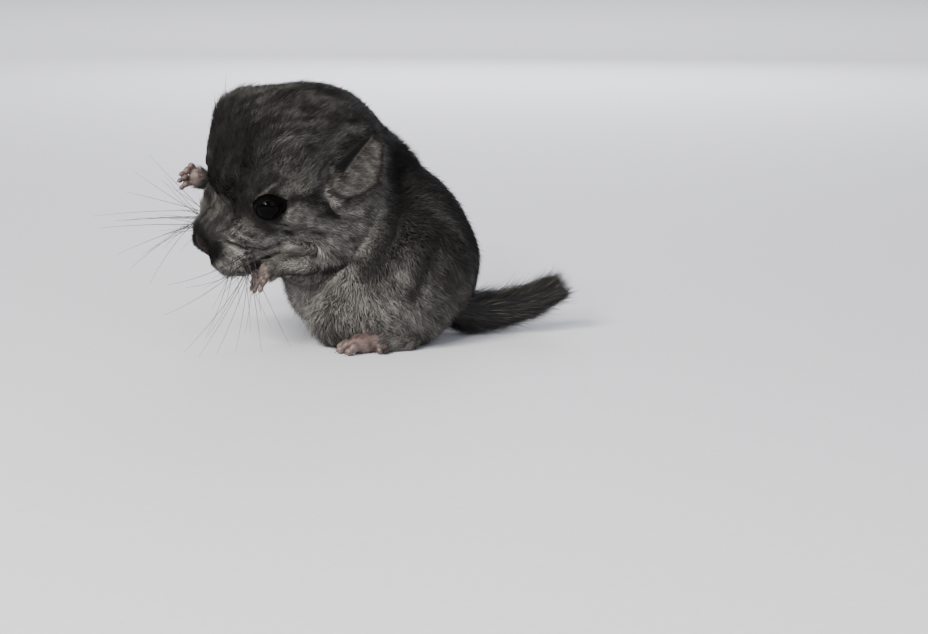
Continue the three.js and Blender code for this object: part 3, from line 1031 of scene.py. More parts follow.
def unwrap(data: bpy.types.Mesh) -> None:
    """Unwraps a skin's own shape, for the map of the hair that grows on it."""
    holder = bpy.data.objects.new("unwrap_holder", data)
    bpy.context.scene.collection.objects.link(holder)
    bpy.context.view_layer.objects.active = holder
    holder.select_set(True)
    data.uv_layers.new(name="skin_unwrap")
    bpy.ops.object.mode_set(mode="EDIT")
    bpy.ops.mesh.select_all(action="SELECT")
    bpy.ops.uv.smart_project(angle_limit=math.radians(80), island_margin=0.004)
    bpy.ops.object.mode_set(mode="OBJECT")
    bpy.data.objects.remove(holder)


# The coat.


@dataclass(frozen=True)
class Spot:
    """A round region that pulls a value towards its own, fading out from inner to outer."""

    centre: tuple[float, float, float]
    inner: float
    outer: float
    value: float
    on_head: bool = True

    def apply(self, points: Points, current: Points) -> Points:
        """The values with this region's share mixed in."""
        centre = HEAD.out(vec(*self.centre)) if self.on_head else vec(*self.centre)
        far = np.linalg.norm(points - centre, axis=1)
        share = 1.0 - smooth_step(self.inner, self.outer, far)
        return current + (self.value - current) * share


def both_sides(centre: tuple[float, float, float], inner: float, outer: float, value: float) -> list[Spot]:
    """The same region on both sides of the head."""
    x, y, z = centre
    return [Spot((x, y * s, z), inner, outer, value) for s in (1, -1)]


@dataclass(frozen=True)
class Lie:
    """A place on the body and the way its hair lies."""

    place: tuple[float, float, float]
    way: tuple[float, float, float]
    on_head: bool = True


@dataclass(frozen=True)
class Stroke:
    """A line over the coat, given in pixels of the photograph and laid on the body: a streak, a line of
    painted shade or a fold.
    """

    pixels: tuple[tuple[float, float], ...]
    width: float
    value: float
    on_head: bool = True

    def mirrored(self, line: "Line") -> "Line":
        """The line's mirror image on the animal's other side."""
        flip = vec(1, -1, 1)
        if self.on_head:
            normals = HEAD.turn(line.normals @ HEAD.basis().T * flip)
            return Line(HEAD.out(HEAD.into(line.places) * flip), normals)
        return Line(line.places * flip + vec(0, 2 * TRUNK_MIDDLE, 0), line.normals * flip)

    @staticmethod
    def laid(strokes: Sequence["Stroke"], mass: Mass) -> list[tuple["Stroke", "Line"]]:
        """Lays strokes on a form.

        Args:
            strokes: The strokes.
            mass: The form that carries them.

        Returns:
            Each stroke with its line, and again with that line's mirror image.
        """
        places = StudioCamera().meets(mass, [pixel for stroke in strokes for pixel in stroke.pixels])
        normals = unit(slope(mass, places))
        found, first = [], 0
        for stroke in strokes:
            part = slice(first, first + len(stroke.pixels))
            first = part.stop
            near = Line(places[part], normals[part])
            found += [(stroke, near), (stroke, stroke.mirrored(near))]
        return found


@dataclass(frozen=True)
class Line:
    """A line on the body's surface with the surface's directions along it."""

    places: Points
    normals: Points
    coat: float = 4.0

    def off(self, points: Points) -> Points:
        """How far each point is from the line, whatever its depth in the coat."""
        found = np.full(len(points), 1e9)
        for i in range(len(self.places) - 1):
            start, along = self.places[i], self.places[i + 1] - self.places[i]
            share = np.clip((points - start) @ along / (along @ along), 0.0, 1.0)
            rest = points - start - share[:, None] * along
            deep = rest @ unit(self.normals[i] + self.normals[i + 1])
            aside = (rest**2).sum(1) - deep**2
            found = np.minimum(found, aside + np.maximum(0.0, np.abs(deep) - self.coat) ** 2)
        return np.sqrt(np.maximum(found, 0.0))


def whisker_grid(side: Side, count: int) -> Points:
    """Rows of places over one whisker pad, in the pose's frame."""
    numbers = np.arange(count)
    grid = np.stack([(numbers // 4 % 5) * 1.25 - 2.6, numbers * 0.0, numbers % 4 * 1.35 - 2.2], axis=1)
    return HEAD.out(sided(PAD_PLACE + vec(-0.5, 4.2, 0.2), side) + grid)


class CoatPlan:
    """How deep, pale and steep the coat is at each place, and which way it lies."""

    def __init__(self, flesh: Flesh) -> None:
        """Prepares the forms that the plan measures from."""
        self.body = flesh.body()
        self.head = flesh.head()
        self.arms = [flesh.foreleg(side) for side in Side]
        self.depth_spots = [
            Spot((0, 0, 0), 20, 36, 2.6),
            Spot((22, 0, -6), 11, 24, 1.0),
            *both_sides((24, 8, -11), 5, 12, 0.9),
            *both_sides(triple(EYE_PLACE), 5.5, 13, 0.55),
            Spot(triple(NOSE), 4.0, 9.0, 0.25),
            *both_sides((-2, 26, 9), 5, 12, 1.3),
            Spot((10, -24, 3), 5, 14, 1.6, False),
            Spot((8, 25, 3), 5, 14, 1.6, False),
        ]
        self.full_spots = [
            *both_sides((25.5, 4, 7), 2.5, 6, 1.1),
            Spot((27, 0, 8), 2.5, 6, 1.1),
            *both_sides((24.5, 10.5, -3.5), 2.5, 5.5, 0.8),
            *both_sides((22, 8.5, -17), 2.5, 6, 1.6),
            *both_sides((29.5, 5.5, -14.5), 2.5, 5, 0.9),
            Spot((-17, -6, 17), 6, 14, 2.2, False),
            Spot((-17, 6, 17), 6, 14, 1.5, False),
            Spot((14, 1, 58), 5, 12, 1.8, False),
        ]
        self.sleek_spots = both_sides((11, 20, 19), 5, 12, 0.4)
        self.sunk_spots = both_sides((30, 11.5, -8.5), 3.8, 7, 1.6)
        self.pale_spots = [
            Spot((4, 0, 22), 14, 32, 0.29),
            *both_sides((18, 5, 14), 8.5, 20, 0.02),
            Spot((-24, 0, 12), 8, 24, 0.15),
            Spot((27, 0, 1), 5, 12, 0.24),
            *both_sides((20, 9, 14), 3, 11, 0.10),
            *both_sides((8, 23, -6), 6, 18, 0.55),
            *both_sides((-12, 25, -10), 5, 16, 0.51),
            *both_sides((22, 12, -6), 2, 8, 0.52),
            *both_sides((26, 8.5, -13), 3.4, 9, 0.70),
            *both_sides((14, 9, -19), 4, 11, 0.66),
            *both_sides((10, 24, 12), 3, 9, 0.34),
            Spot((31, 0, -10), 4.8, 7.6, 0.03),
            *both_sides((29.5, 4, -10.5), 3.0, 5.0, 0.01),
            *both_sides(triple(EYE_PLACE), 4.8, 6.3, 0.12),
            Spot((14, 4, 60), 8, 20, 0.16, False),
            Spot((30, 4, 46), 8, 20, 0.13, False),
            Spot((41, 3, 32), 6, 18, 0.12, False),
            Spot((43, 3, 16), 5, 15, 0.12, False),
            Spot((24, -22, 36), 6, 16, 0.22, False),
            Spot((22, 26, 36), 6, 16, 0.22, False),
            Spot((8, -26, 14), 8, 19, 0.61, False),
            Spot((-10, -14, 12), 6, 16, 0.66, False),
            Spot((8, 30, 14), 8, 19, 0.54, False),
        ]
        self.lies = self.lie_points()
        roots = np.concatenate([whisker_grid(side, 20) for side in Side])
        self.whisker_roots = settle(self.head, roots, -0.6, 4)
        whole = flesh.whole()
        # The coat's streaks, with the painted shade of its creases and troughs.
        self.streaks = Stroke.laid(STREAKS_AND_CREASE_SHADE + TROUGH_SHADE, whole)
        self.folds = Stroke.laid(FOLDS, whole)

    @staticmethod
    def lie_points() -> list[Lie]:
        """The places where the lie of the hair is known."""
        found = [
            Lie((31, 0, -3), (-0.5, 0, 1)),
            Lie((27, 0, 3), (-0.2, 0, 1)),
            Lie((24, 0, 10), (-0.05, 0, 1)),
            Lie((18, 0, 21), (-0.6, 0, 0.8)),
            Lie((8, 0, 26), (-1, 0, 0.15)),
            Lie((-18, 0, 24), (-0.9, 0, -0.4)),
            Lie((-29, 0, 6), (-0.3, 0, -1)),
            Lie((22, 0, -20), (-1, 0, -0.25)),
            Lie((5, 0, -24), (-1, 0, 0.1)),
        ]
        for s in (1, -1):
            found += [
                Lie((22, 9 * s, 8), (0, 0.3 * s, 1)),
                Lie((20, 12 * s, 14), (-0.2, 0.2 * s, 1)),
                Lie((14, 17 * s, 15), (-0.4, 0.3 * s, 0.85)),
                Lie((8, 22 * s, 13), (-0.6, 0.2 * s, 0.8)),
                Lie((24, 10 * s, -1), (-0.7, 0.45 * s, 0.55)),
                Lie((20, 14 * s, 0), (-0.9, 0.4 * s, 0.15)),
                Lie((12, 20 * s, -2), (-1, 0.3 * s, -0.2)),
                Lie((4, 24 * s, 5), (-1, 0.1 * s, 0.1)),
                Lie((29, 7 * s, -11), (-0.5, 0.7 * s, -0.45)),
                Lie((24, 12 * s, -13), (-0.8, 0.4 * s, -0.35)),
                Lie((14, 14 * s, -17), (-1, 0.3 * s, -0.3)),
                Lie((-4, 27 * s, -10), (-0.85, 0, -0.5)),
                Lie((-22, 20 * s, -10), (-0.7, 0, -0.7)),
                Lie((-2, 26 * s, 14), (-0.8, 0.1 * s, 0.5)),
                Lie((2, 18 * s, 24), (-0.9, 0.15 * s, 0.1)),
                Lie((-18, 18 * s, 18), (-0.9, 0.1 * s, -0.25)),
            ]
        found += [
            Lie((16, 4, 62), (0.8, 0, -0.5), False),
            Lie((30, 4, 50), (0.65, 0, -0.75), False),
            Lie((40, 3, 34), (0.3, 0, -1), False),
            Lie((40, 3, 16), (0.4, 0, -0.9), False),
            Lie((34, 3, 8), (0.95, 0, -0.2), False),
            Lie((-14, 3, 22), (0.15, 0, -1), False),
            Lie((-18, 3, 10), (0.5, 0, -0.8), False),
        ]
        middle = TRUNK_MIDDLE
        for y in (-1, 1):
            found += [
                Lie((14, middle + 22 * y, 48), (0.7, 0.1 * y, -0.7), False),
                Lie((24, middle + 24 * y, 30), (0.5, 0.1 * y, -0.85), False),
                Lie((8, middle + 26 * y, 28), (0.45, 0.1 * y, -0.9), False),
                Lie((-6, middle + 18 * y, 22), (0.2, 0.05 * y, -1), False),
                Lie((16, middle + 28 * y, 14), (0.6, 0.05 * y, -0.75), False),
                Lie((2, middle + 26 * y, 10), (0.35, 0.05 * y, -0.9), False),
                Lie((28, middle + 18 * y, 12), (0.8, 0, -0.55), False),
                Lie((-10, middle + 17 * y, 8), (0.2, 0.1 * y, -0.95), False),
            ]
        found += [
            Lie((-12, -19, 25), (-0.9, -0.35, -0.1), False),
            Lie((-17, -20, 25), (-0.9, -0.3, -0.1), False),
            Lie((-19, 27, 34), (-0.85, -0.2, 0.35), False),
            Lie((-36, 21, 42), (-0.85, -0.3, 0.4), False),
        ]
        return found

    def depth(self, points: Points, folded: bool = True) -> Points:
        """How deep the skin lies under the coat's tips, in millimetres.

        Args:
            points: Places in millimetres.
            folded: Whether the skin's folds count. The hair itself is no longer in a fold.

        Returns:
            One depth for each point.
        """
        depth = np.full(len(points), 3.3)
        for spot in self.depth_spots:
            depth = spot.apply(points, depth)
        body = np.minimum(self.body.distance(points), self.head.distance(points))
        for arm in self.arms:
            clear = smooth_step(-1.0, 2.5, body - arm.distance(points))
            depth = depth + (0.9 - depth) * clear
        depth = depth * (0.82 + 0.36 * cloud(points, 7.5, 21))
        if folded:
            depth = depth + self.spread(self.sunk_spots, points)
            for fold, line in self.folds:
                depth = depth + fold.value * np.exp(-((line.off(points) / fold.width) ** 2))
        return depth

    def fullness(self, points: Points) -> Points:
        """How much longer than the skin's depth the hair is, where it fills a hollow of the form."""
        return self.spread(self.full_spots, points)

    def sleekness(self, points: Points) -> Points:
        """How much flatter than elsewhere the hair lies, in radians."""
        return self.spread(self.sleek_spots, points)

    @staticmethod
    def spread(spots: Sequence[Spot], points: Points) -> Points:
        """What some spots add up to over nothing."""
        extra = np.zeros(len(points))
        for spot in spots:
            extra = spot.apply(points, extra)
        return extra

    def marking(self, points: Points, grain: Points | None = None) -> Points:
        """How pale the coat is, from 0 for black to 1 for white, with its mottling and the painted shade of
        its creases and troughs.

        Args:
            points: Places in millimetres.
            grain: The lie of the hair there. The mottling is drawn out along it.

        Returns:
            One number for each point.
        """

        def mottle(size: float, seed: int) -> Points:
            """Patches of about one size, from -0.5 to 0.5."""
            if grain is None:
                return cloud(points, size, seed) - 0.5
            steps = [cloud(points + grain * size * step, size, seed) for step in (-0.9, -0.3, 0.3, 0.9)]
            return (np.mean(steps, axis=0) - 0.5) * 1.25

        pale = np.full(len(points), 0.38)
        for spot in self.pale_spots:
            pale = spot.apply(points, pale)
        coarse, fine, finer = mottle(6.0, 11), mottle(2.2, 12), mottle(0.9, 13)
        rough = 1.0 - smooth_step(26.0, 36.0, np.linalg.norm(HEAD.into(points), axis=1))
        pale = pale * (1.0 + 0.45 * coarse + (0.5 + 0.35 * rough) * fine + (0.5 + 0.45 * rough) * finer)
        fleck = smooth_step(0.0, 0.35, mottle(0.8, 16)) * smooth_step(-0.2, 0.2, mottle(3.0, 17))
        shown = smooth_step(0.0, 0.16, pale)
        pale = pale + (0.06 + 0.16 * rough) * fleck * shown
        dim = 1.0 - smooth_step(0.25, 0.45, pale)
        pale = pale + rough * dim * (0.2 * fine + 0.16 * finer) * (0.3 + 0.7 * shown)
        for root in self.whisker_roots:
            near = ((points - root) ** 2).sum(1)
            pale = pale * (1.0 - 0.9 * np.exp(-near / 0.2))
        # Streaks, and the painted shade of creases and troughs, pull the paleness towards their own value.
        for streak_or_shade, line in self.streaks:
            wander = streak_or_shade.width * (0.75 + 0.5 * cloud(points, 1.6, 14))
            share = 0.85 * np.exp(-((line.off(points) / wander) ** 2))
            pale = pale + (streak_or_shade.value - pale) * share
        return np.clip(pale, 0.0, 1.0)

    def leather(self, points: Points) -> Points:
        """How bare the skin is, from 0 for furred to 1 for the leather of the nose and lips."""
        local = HEAD.into(points)
        nose = np.linalg.norm((local - NOSE - vec(-1.3, 0, -0.3)) / vec(1.15, 1.2, 0.95), axis=1)
        bare = 1.0 - smooth_step(3.6, 4.2, nose)
        groove = Limb((30.6, 0, -13.0), (27.6, 0, -16.8), 0.5, 0.5).distance(local)
        return np.maximum(bare, 1.0 - smooth_step(0.3, 0.9, groove))

    def lie(self, points: Points, normals: Points) -> Points:
        """The way the hair lies at each point, along the surface.

        Args:
            points: Places in millimetres.
            normals: The surface's outward directions there.

        Returns:
            Unit directions that lie in the surface.
        """
        total = np.zeros_like(points)
        for lie in self.lies:
            place = HEAD.out(vec(*lie.place)) if lie.on_head else vec(*lie.place)
            way = HEAD.turn(vec(*lie.way)) if lie.on_head else vec(*lie.way)
            far = ((points - place) ** 2).sum(1)
            total += unit(way) / (far[:, None] + 9.0) ** 2
        total = along_surface(total, normals)
        for side in Side:
            # Hair beside the eye runs round it and never into it.
            away = points - HEAD.out(sided(EYE_PLACE, side))
            near = 1.0 - smooth_step(5.5, 9.5, np.linalg.norm(away, axis=1))
            away = along_surface(away, normals)
            inward = np.maximum(0.0, -(total * away).sum(1))
            total = total + away * (near * (inward * 1.1 + 0.12))[:, None]
        return unit(total)


@dataclass
class Pelt:
    """The one skin of the animal, which lies inside the CAD forms by the coat's depth."""

    flesh: Flesh
    plan: CoatPlan
    voxel: float = 0.62
    floor_clearance: float = 0.35

    def build(self) -> bpy.types.Mesh:
        """Makes the skin's mesh, in millimetres in the pose's frame."""
        mesh = bmesh.new()
        self.flesh.whole().lump(mesh, Matrix.Identity(4))
        data = remeshed(mesh, self.voxel)
        points = self.settled(data, read_points(data), 4)
        write_points(data, points)
        data = self.refined(data)
        points = self.settled(data, read_points(data), 3)
        write_points(data, points)
        paint(data, "coat_tone", self.tones(points))
        data.shade_smooth()
        unwrap(data)
        return data

    def settled(self, data: bpy.types.Mesh, points: Points, rounds: int) -> Points:
        """Relaxes the skin and lays it at the coat's depth, in turns."""
        whole = self.flesh.whole()
        edges = edge_pairs(data)
        for _ in range(rounds):
            points = relax(points, edges, 0.35)
            points = settle(whole, points, -self.plan.depth(points), 2)
        points[:, 2] = np.maximum(points[:, 2], self.floor_clearance)
        return points

    def refined(self, data: bpy.types.Mesh) -> bpy.types.Mesh:
        """Splits the faces of the nose and lips finer, so that nostrils and mouth are real forms."""
        mesh = bmesh.new()
        mesh.from_mesh(data)
        bpy.data.meshes.remove(data)
        nose = HEAD.out(NOSE + vec(-2, 0, -1))
        for reach in (11.0, 5.5):
            centre = Vector(nose)
            edges = [e for e in mesh.edges if (e.verts[0].co - centre).length < reach]
            bmesh.ops.subdivide_edges(mesh, edges=edges, cuts=1, use_grid_fill=True)
        bmesh.ops.triangulate(mesh, faces=[f for f in mesh.faces if len(f.verts) > 4])
        return as_mesh(mesh, "skin")

    def tones(self, points: Points) -> Points:
        """Marking, rise and leather for each corner of the skin."""
        return np.stack([self.plan.marking(points), np.zeros(len(points)), self.plan.leather(points)], axis=1)


@dataclass
class SkinSample:
    """Places drawn at random on the skin, with what the skin is there."""

    points: Points
    normals: Points
    unwrap: Points

    @staticmethod
    def draw(
        data: bpy.types.Mesh, density: Callable[[Points], Points], rng: np.random.Generator
    ) -> "SkinSample":
        """Draws the roots of the tufts.

        Args:
            data: The skin's mesh, in millimetres.
            density: Gives tufts to the square millimetre at each of some points.
            rng: The source of random numbers.

        Returns:
            The drawn places.
        """
        data.calc_loop_triangles()
        count = len(data.loop_triangles)
        corners = np.empty(count * 3, np.int32)
        data.loop_triangles.foreach_get("vertices", corners)
        loops = np.empty(count * 3, np.int32)
        data.loop_triangles.foreach_get("loops", loops)
        corners, loops = corners.reshape(-1, 3), loops.reshape(-1, 3)
        points = read_points(data)
        normals = np.empty(len(points) * 3, np.float32)
        data.vertices.foreach_get("normal", normals)
        normals = normals.reshape(-1, 3).astype(float)
        flat = np.empty(len(data.loops) * 2, np.float32)
        data.uv_layers["skin_unwrap"].uv.foreach_get("vector", flat)
        unwrap = flat.reshape(-1, 2).astype(float)
        a, b, c = (points[corners[:, i]] for i in range(3))
        area = np.linalg.norm(np.cross(b - a, c - a), axis=1) / 2.0
        wanted = area * density((a + b + c) / 3.0)
        number = np.floor(wanted + rng.random(count)).astype(int)
        chosen = np.repeat(np.arange(count), number)
        u, v = rng.random(len(chosen)), rng.random(len(chosen))
        flip = u + v > 1.0
        u[flip], v[flip] = 1.0 - u[flip], 1.0 - v[flip]
        shares = np.stack([1.0 - u - v, u, v], axis=1)
        place = np.einsum("ij,ijk->ik", shares, points[corners[chosen]])
        normal = unit(np.einsum("ij,ijk->ik", shares, normals[corners[chosen]]))
        spot = np.einsum("ij,ijk->ik", shares, unwrap[loops[chosen]])
        return SkinSample(place, normal, spot)

    def kept(self, keep: Points) -> "SkinSample":
        """Only the places that a mask keeps."""
        return SkinSample(self.points[keep], self.normals[keep], self.unwrap[keep])


@dataclass
class Tufts:
    """Many bent tufts of hair as one mesh. Each is a folded blade with a ridge, and ends in a point."""

    roots: Points
    normals: Points
    ways: Points
    lengths: Points
    widths: Points
    root_lift: Points
    tip_lift: Points
    marking: Points
    strand: Points
    unwrap: Points
    patch: float = 0.003
    sunk: float = 0.15
    taper: float = 0.85
    spread: float = 0.55
    floor: float = 0.12

    def shape(self) -> tuple[Points, Points, Points]:
        """Corner places, corner normals and rises, seven for each tuft."""
        across = unit(np.cross(self.normals, self.ways))

        def aim(lift: Points) -> Points:
            """The direction of the hair at a lift from the skin."""
            return self.ways * np.cos(lift)[:, None] + self.normals * np.sin(lift)[:, None]

        first, second = aim(self.root_lift), aim(self.tip_lift)
        half = self.lengths[:, None] * 0.5
        middle = self.roots + first * half
        tip = middle + second * half
        ridge_low = unit(np.cross(first, across))
        ridge_high = unit(np.cross(first + second, across))
        wide = self.widths[:, None] * 0.5
        fold = self.widths[:, None] * 0.35
        base = self.roots - self.normals * self.sunk
        low = [base - across * wide, base + ridge_low * fold, base + across * wide]
        sides = across * wide * self.taper
        high = [middle - sides, middle + ridge_high * fold * self.taper, middle + sides]
        corners = np.stack([*low, *high, tip], axis=1)
        soft = self.normals * 0.75 + first * 0.15
        leaning = self.normals * 0.75 + second * 0.15
        aside = across * self.spread
        rows = [way + turn for way in (soft, leaning) for turn in (-aside, 0.0, aside)]
        directions = np.stack([unit(row) for row in (*rows, leaning)], axis=1)
        rises = np.tile(vec(0, 0, 0, 0.5, 0.5, 0.5, 1.0), (len(self.roots), 1))
        return corners, directions, rises

    def build(self, name: str) -> bpy.types.Mesh:
        """Makes the mesh, in metres in the CAD frame, with its tones and its OFBake map.

        Args:
            name: The mesh's name.

        Returns:
            The mesh.
        """
        corners, directions, rises = self.shape()
        corners[:, :, 2] = np.maximum(corners[:, :, 2], self.floor)
        count = len(self.roots)
        base = (np.arange(count) * 7)[:, None]
        quads = np.array([[3, 4, 1, 0], [4, 5, 2, 1]])
        tips = np.array([[6, 4, 3], [6, 5, 4]])
        loops = np.concatenate([base + quads.ravel(), base + tips.ravel()], axis=1)
        starts = (np.arange(count) * 14)[:, None] + np.array([0, 4, 8, 11])
        data = bpy.data.meshes.new(name)
        data.vertices.add(count * 7)
        data.loops.add(count * 14)
        data.polygons.add(count * 4)
        data.vertices.foreach_set("co", to_frame(corners.reshape(-1, 3)).astype(np.float32).ravel())
        data.loops.foreach_set("vertex_index", loops.astype(np.int32).ravel())
        data.polygons.foreach_set("loop_start", starts.astype(np.int32).ravel())
        data.polygons.foreach_set("use_smooth", np.ones(count * 4, bool))
        data.update(calc_edges=True)
        tones = [np.repeat(self.marking, 7), rises.ravel(), np.repeat(self.strand, 7)]
        paint(data, "coat_tone", np.stack(tones, axis=1))
        self.bake_map(data, loops, rises)
        data.normals_split_custom_set_from_vertices(directions.reshape(-1, 3).astype(np.float32))
        return data

    def bake_map(self, data: bpy.types.Mesh, loops: Points, rises: Points) -> None:
        """Gives each tuft a small patch at its root's place on the skin's unwrap."""
        aside = np.tile(vec(-0.5, 0, 0.5, -0.4, 0, 0.4, 0), (len(self.roots), 1))
        corner = np.stack([aside, rises - 0.5], axis=2) * self.patch + self.unwrap[:, None, :]
        corner = np.clip(corner, 0.0, 1.0).reshape(-1, 2)
        layer = data.uv_layers.new(name="OFBake")
        layer.uv.foreach_set("vector", corner[loops.ravel()].astype(np.float32).ravel())

    def some(self, keep: Points) -> "Tufts":
        """Only the tufts that a mask keeps."""
        lists = [field.name for field in fields(self) if field.type is Points]
        return replace(self, **{name: getattr(self, name)[keep] for name in lists})

    def grow(self, name: str, material: bpy.types.Material, slot: str) -> None:
        """Makes the tufts a piece of that name."""
        finish_piece(name, self.build(name), material)


@dataclass
class Coat:
    """The plush coat over the skin, in pieces by region."""

    plan: CoatPlan
    seed: int = 20
    most_in_piece: int = 32500
    body_density: float = 10.5
    head_density: float = 15.0
    face_density: float = 26.0
    body_width: float = 0.27
    head_width: float = 0.24
    face_width: float = 0.16
    head_reach: float = 33.0
    crown_height: float = 10.0

    def fineness(self, points: Points) -> tuple[Points, Points]:
        """Shares of head and of face for each point."""
        local = HEAD.into(points)
        head = 1.0 - smooth_step(28.0, 38.0, np.linalg.norm(local, axis=1))
        face = 1.0 - smooth_step(9.0, 18.0, np.linalg.norm(local - NOSE - vec(-3, 0, 0), axis=1))
        for side in Side:
            eye = np.linalg.norm(local - sided(EYE_PLACE, side), axis=1)
            face = np.maximum(face, 1.0 - smooth_step(6.5, 12.0, eye))
        return head, face

    def blend(self, points: Points, body: float, head: float, face: float) -> Points:
        """A value that goes from the body's to the head's to the face's."""
        on_head, on_face = self.fineness(points)
        value = body + (head - body) * on_head
        return value + (face - value) * on_face

    def density(self, points: Points) -> Points:
        """Tufts to the square millimetre."""
        return self.blend(points, self.body_density, self.head_density, self.face_density)

    def tufts(self, skin: bpy.types.Mesh) -> Tufts:
        """Draws every tuft of the coat."""
        rng = np.random.default_rng(self.seed)
        sample = SkinSample.draw(skin, self.density, rng)
        sample = sample.kept(self.furred(sample))
        points, normals = sample.points, sample.normals
        count = len(points)
        grain = self.plan.lie(points, normals)
        swirl = (cloud(points, 6.0, 31) - 0.5) * 0.7 + (cloud(points, 1.8, 32) - 0.5) * 0.6
        swirl = swirl + rng.normal(0.0, 0.24, count)
        ways = grain * np.cos(swirl)[:, None] + np.cross(normals, grain) * np.sin(swirl)[:, None]
        full = self.plan.fullness(points)
        depth = self.plan.depth(points, False) + full
        sleek = self.plan.sleekness(points)
        root_lift = self.blend(points, 1.15, 1.15, 0.6) + rng.normal(0.0, 0.12, count) + 0.1 * full - sleek
        tip_lift = self.blend(points, 0.62, 0.72, 0.2) + (cloud(points, 2.4, 33) - 0.5) * 0.6 + 0.2 * full
        tip_lift = tip_lift + rng.normal(0.0, 0.16, count) - sleek
        rise = 0.5 * (np.sin(np.clip(root_lift, 0.3, 1.4)) + np.sin(np.clip(tip_lift, 0.08, 1.2)))
        reach = (depth + 0.15) / np.maximum(rise, 0.3)
        reach = reach * (0.88 + 0.2 * cloud(points, 2.0, 34)) * rng.uniform(0.8, 1.06, count)
        reach = reach * np.where(rng.random(count) < 0.04, 1.3, 1.0)
        lengths = np.maximum(reach, self.blend(points, 3.0, 2.2, 1.3))
        widths = self.blend(points, self.body_width, self.head_width, self.face_width)
        widths = widths * rng.uniform(0.75, 1.25, count)
        return Tufts(
            points,
            normals,
            ways,
            lengths,
            widths,
            root_lift,
            tip_lift,
            self.plan.marking(points + ways * (lengths * 0.6)[:, None], grain),
            rng.random(count),
            sample.unwrap,
        )

    def furred(self, sample: SkinSample) -> Points:
        """Which places carry hair: not the nose leather, the flats on the floor or beside the eyeball."""
        keep = self.plan.leather(sample.points) < 0.45
        keep &= ~((sample.points[:, 2] < 0.9) & (sample.normals[:, 2] < -0.75))
        for side in Side:
            rear, over = Eye(side).lid_axes()
            off = sample.points - Eye(side).centre()
            wide = np.where(off @ rear > 0, 4.8, 3.9)
            almond = (off @ rear / wide) ** 2 + (off @ over / 2.85) ** 2
            keep &= (almond > 1.0) | (np.linalg.norm(off, axis=1) > 8.0)
        return keep

    def build(self, skin: bpy.types.Mesh, material: bpy.types.Material) -> None:
        """Makes the coat's pieces.

        Args:
            skin: The skin's mesh, in millimetres.
            material: The hair material.
        """
        tufts = self.tufts(skin)
        LOG.info("coat: %d tufts", len(tufts.roots))
        local = HEAD.into(tufts.roots)
        on_head = np.linalg.norm(local, axis=1) < self.head_reach
        crown = on_head & (local[:, 2] > self.crown_height)
        face = on_head & ~crown
        left = tufts.roots[:, 1] < TRUNK_MIDDLE
        regions = {
            "coat_crown": crown,
            "coat_face_left": face & (local[:, 1] > 0),
            "coat_face_right": face & (local[:, 1] <= 0),
            "coat_body_left": ~on_head & left,
            "coat_body_right": ~on_head & ~left,
        }
        for name, mask in regions.items():
            chosen = np.flatnonzero(mask)
            order = chosen[np.argsort(tufts.roots[chosen, 0])]
            parts = max(1, math.ceil(len(order) / self.most_in_piece))
            for number, part in enumerate(np.array_split(order, parts), 1):
                label = name if parts == 1 else f"{name}_{number}"
                tufts.some(part).grow(label, material, "coat")


# Ears, eyes, paws, tail and whiskers.


